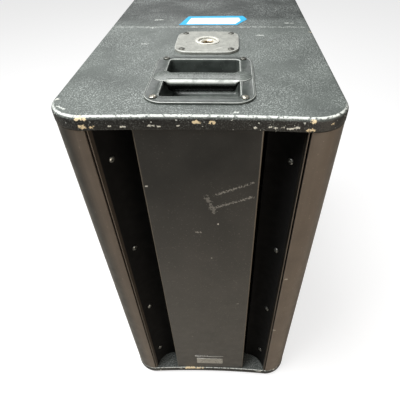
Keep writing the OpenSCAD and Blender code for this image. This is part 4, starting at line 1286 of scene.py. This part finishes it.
class Trim:
    """The blank badge and the strip of tape."""

    def build(self) -> None:
        """Round the badge and lay the tape."""
        parts = []
        for k, (low, high) in enumerate(islands("badge")):
            width, height, depth = high.x - low.x, high.z - low.z, high.y - low.y
            plate = slab(f"badge_{k}", rounded_rect(width, height, min(height * 0.45, 2 * MM), 5), 0, depth,
                         min(0.5 * MM, height * 0.3), 0.05 * MM)
            turn = Matrix.Translation(((low.x + high.x) / 2, high.y, (low.z + high.z) / 2))
            parts.append(place(plate, turn @ Matrix.Rotation(math.radians(90), 4, "X")))
        dress(join("blank_badge", parts), BADGE_METAL, replaced=["badge"])
        self.build_tape()

    def build_tape(self) -> None:
        """Lay the tape with a ragged end and a white strip on it."""
        low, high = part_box("tape_label")
        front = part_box("top_board")[0].y
        corners = [(-57, 346), (48, 347), (67, 382), (60, 405), (-44, 401)]
        ragged = []
        for k, (x, y) in enumerate(corners):
            nx, ny = corners[(k + 1) % len(corners)]
            for j in range(6):
                share = j / 6
                wave = 0.5 * math.sin(7.3 * j + 2.1 * k)
                ragged.append(((x + (nx - x) * share + wave * 0.4) * MM, front + (y + (ny - y) * share) * MM))
        clamp = [(max(low.x, min(high.x, x)), max(low.y, min(high.y, y))) for x, y in ragged]
        tape = slab("blue_tape", clamp, low.z + 0.02 * MM, high.z - 0.1 * MM, 0.1 * MM, 0.05 * MM)
        dress(tape, TAPE_BLUE, replaced=["tape_label"])
        label = [(-44, 351), (45, 352), (55, 375), (52, 392), (-38, 389)]
        strip = slab("blank_label", [(x * MM, front + y * MM) for x, y in label], high.z - 0.12 * MM, high.z,
                     0.05 * MM, 0.02 * MM)
        dress(strip, TAPE_WHITE)


@dataclass
class Drivers:
    """Both drivers, which sit in the dark behind the slots."""

    names: tuple[str, str] = ("upper", "lower")

    def build(self) -> None:
        """Coat every driver node."""
        for which in self.names:
            dress_nodes({
                which + "_basket": BASKET_CAST, which + "_magnet": FERRITE,
                which + "_motor_steel": MOTOR_STEEL, which + "_cone": CONE_PULP,
                which + "_dust_cap": CONE_PULP, which + "_voice_coil": COIL,
                which + "_surround": SURROUND, which + "_spider": SPIDER,
            })
        ScrewPattern("driver_screw_heads", "driver_screws", BLACK_SCREW, lambda middle: Vector((0, -1, 0)),
                     lambda low, high: Vector(((low.x + high.x) / 2, low.y + HEAD_H, (low.z + high.z) / 2)),
                     Drive.HEX).build()


@dataclass
class Amplifier:
    """The panel on the back, what is set in it and what is behind it."""

    def build(self) -> None:
        """Coat the amplifier's nodes and set its screws."""
        dress_nodes({
            "amp_panel": AMP_PAINT, "heat_sink": AMP_PAINT, "circuit_board": PCB, "transformer": TRAFO,
            "capacitors": CAPS, "signal_sockets": SOCKETS, "power_inlet": SOCKETS, "power_switch": SWITCH,
            "gain_knob": SOCKETS, "mode_switch": LEVER, "speaker_wires": WIRE,
        })
        ScrewPattern("amp_screw_heads", "amp_screws", BLACK_SCREW, lambda middle: Vector((0, 1, 0)),
                     back_seat).build()


@dataclass
class Casters:
    """Four swivel casters on the back."""

    corners: tuple[str, ...] = ("upper_left", "upper_right", "lower_left", "lower_right")

    @staticmethod
    def mirrored(side: Sequence[Point], half: float, middle: Sequence[Point] = ()) -> list[Point]:
        """Give a wheel's section from one side's points, each a radius and a depth below its face."""
        front = [(radius, depth - half) for radius, depth in side]
        return front + list(middle) + [(radius, -z) for radius, z in reversed(front)]

    def build_wheel(self, corner: str) -> None:
        """Turn one wheel: a crowned tread on a dished hub."""
        low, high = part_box(corner + "_wheel")
        middle, r, half = (low + high) / 2, (high.z - low.z) / 2, (high.x - low.x) / 2
        where = Matrix.Translation(middle) @ Matrix.Rotation(math.radians(90), 4, "Y")
        hub_r, bore = r - 9 * MM, 5.1 * MM
        side = [(hub_r, 2 * MM), (r - 5 * MM, MM), (r - 2.2 * MM, 2.4 * MM), (r - 0.7 * MM, 6 * MM)]
        tread = lathe(corner + "_tread", self.mirrored(side, half, [(r, 0)]), 72)
        side = [(bore, 0), (11 * MM, 0), (12 * MM, 5 * MM), (hub_r - 4 * MM, 5.5 * MM),
                (hub_r - 1.5 * MM, 2.5 * MM), (hub_r, 2.2 * MM)]
        hub = lathe(corner + "_hub", self.mirrored(side, half), 72)
        dress(place(tread, where), TREAD, corner + "_wheel", [corner + "_wheel"])
        dress(place(hub, where), HUB, corner + "_wheel")

    def build(self) -> None:
        """Build the wheels and coat the rest."""
        for corner in self.corners:
            self.build_wheel(corner)
            dress_nodes({corner + "_fork": ZINC})
        dress_nodes({"caster_plates": ZINC})
        ScrewPattern("caster_screw_heads", "caster_screws", BRIGHT_SCREW, lambda middle: Vector((0, 1, 0)),
                     back_seat).build()


# ---------------------------------------------------------------- studio


@dataclass
class Studio:
    """Camera, pale floor and soft light."""

    camera_at: tuple[float, float, float] = (0.03619, -0.71709, 0.86595)
    camera_turn: tuple[float, float, float] = (45.386, 0.348, 1.632)
    lens_mm: float = 31.79
    shift: tuple[float, float] = (-0.0466, 0.0658)
    floor_size: float = 14.0
    floor_glow: float = 0.72
    floor_bounce: str = "#beb8ad"
    fill: float = 0.15

    def build_camera(self) -> None:
        """Set the camera in front of and above the cabinet, looking down at it."""
        data = bpy.data.cameras.new("camera")
        data.sensor_width, data.lens = 36.0, self.lens_mm
        data.shift_x, data.shift_y = self.shift
        data.clip_start, data.clip_end = 0.01, 50.0
        camera = bpy.data.objects.new("camera", data)
        camera.location = self.camera_at
        camera.rotation_euler = [math.radians(a) for a in self.camera_turn]
        bpy.context.scene.collection.objects.link(camera)
        bpy.context.scene.camera = camera

    def build_floor(self) -> None:
        """Lay a pale floor that glows a little, and throws only a dim warm light back at the cabinet."""
        shape = bmesh.new()
        bmesh.ops.create_grid(shape, x_segments=1, y_segments=1, size=self.floor_size / 2)
        floor = finish_mesh("studio_floor", shape)
        material = bpy.data.materials.new("pale_studio_floor")
        material.use_nodes = True
        tree = material.node_tree
        tree.nodes.clear()
        matt = add_node(tree, "ShaderNodeBsdfDiffuse", {"Color": linear("#a8a8a8")})
        glow = add_node(tree, "ShaderNodeEmission", {"Color": WHITE, "Strength": self.floor_glow})
        pale = add_node(tree, "ShaderNodeAddShader", {0: matt.outputs[0], 1: glow.outputs[0]})
        warm = add_node(tree, "ShaderNodeBsdfDiffuse", {"Color": linear(self.floor_bounce)})
        seen = add_node(tree, "ShaderNodeLightPath").outputs["Is Camera Ray"]
        mixed = add_node(tree, "ShaderNodeMixShader", {0: seen, 1: warm.outputs[0], 2: pale.outputs[0]})
        add_node(tree, "ShaderNodeOutputMaterial", {"Surface": mixed.outputs[0]})
        floor.data.materials.append(material)

    def build_light(self, name: str, at: Sequence[float], toward: Sequence[float], size: float, power: float,
                    tint: str = "#ffffff") -> None:
        """Hang a square soft light.

        Args:
            name: Name of the light.
            at: Its place.
            toward: The point that it faces.
            size: Length of its side.
            power: Its power in watts.
            tint: Its colour.
        """
        data = bpy.data.lights.new(name, "AREA")
        data.shape, data.size, data.energy, data.color = "SQUARE", size, power, linear(tint)[:3]
        light = bpy.data.objects.new(name, data)
        light.location = at
        light.rotation_euler = (Vector(toward) - Vector(at)).to_track_quat("-Z", "Y").to_euler()
        bpy.context.scene.collection.objects.link(light)

    def build_world(self) -> None:
        """Show a white room, and fill the shade with a weak even light."""
        world = bpy.data.worlds.new("studio")
        world.use_nodes = True
        tree = world.node_tree
        tree.nodes.clear()
        seen = add_node(tree, "ShaderNodeLightPath").outputs["Is Camera Ray"]
        strength = add_node(tree, "ShaderNodeMapRange", {"Value": seen, "To Min": self.fill, "To Max": 1.0})
        glow = add_node(tree, "ShaderNodeBackground", {"Color": WHITE, "Strength": strength.outputs[0]})
        add_node(tree, "ShaderNodeOutputWorld", {"Surface": glow.outputs[0]})
        bpy.context.scene.world = world

    def build(self) -> None:
        """Build camera, floor, lights and world."""
        bpy.context.scene.view_settings.view_transform = "Standard"
        self.build_camera()
        self.build_floor()
        self.build_world()
        self.build_light("overhead", (-0.8, -0.5, 2.5), (0, -0.2, 0.5), 1.4, 80)
        self.build_light("behind", (-0.4, 2.2, 2.3), (-0.1, -0.35, 0.68), 1.1, 12)
        self.build_light("warm_front", (1.15, -1.5, 0.36), (0.05, -0.3, 0.18), 0.9, 13, "#fff1e0")


def main() -> None:
    """Build every sub-assembly in order."""
    studio = Studio()
    studio.build()
    for part in (Cabinet(), Wings(), Handle(), PolePlate(), Trim(), Drivers(), Amplifier(), Casters()):
        LOG.info("building %s", type(part).__name__)
        part.build()


if __name__ == "__main__":
    main()
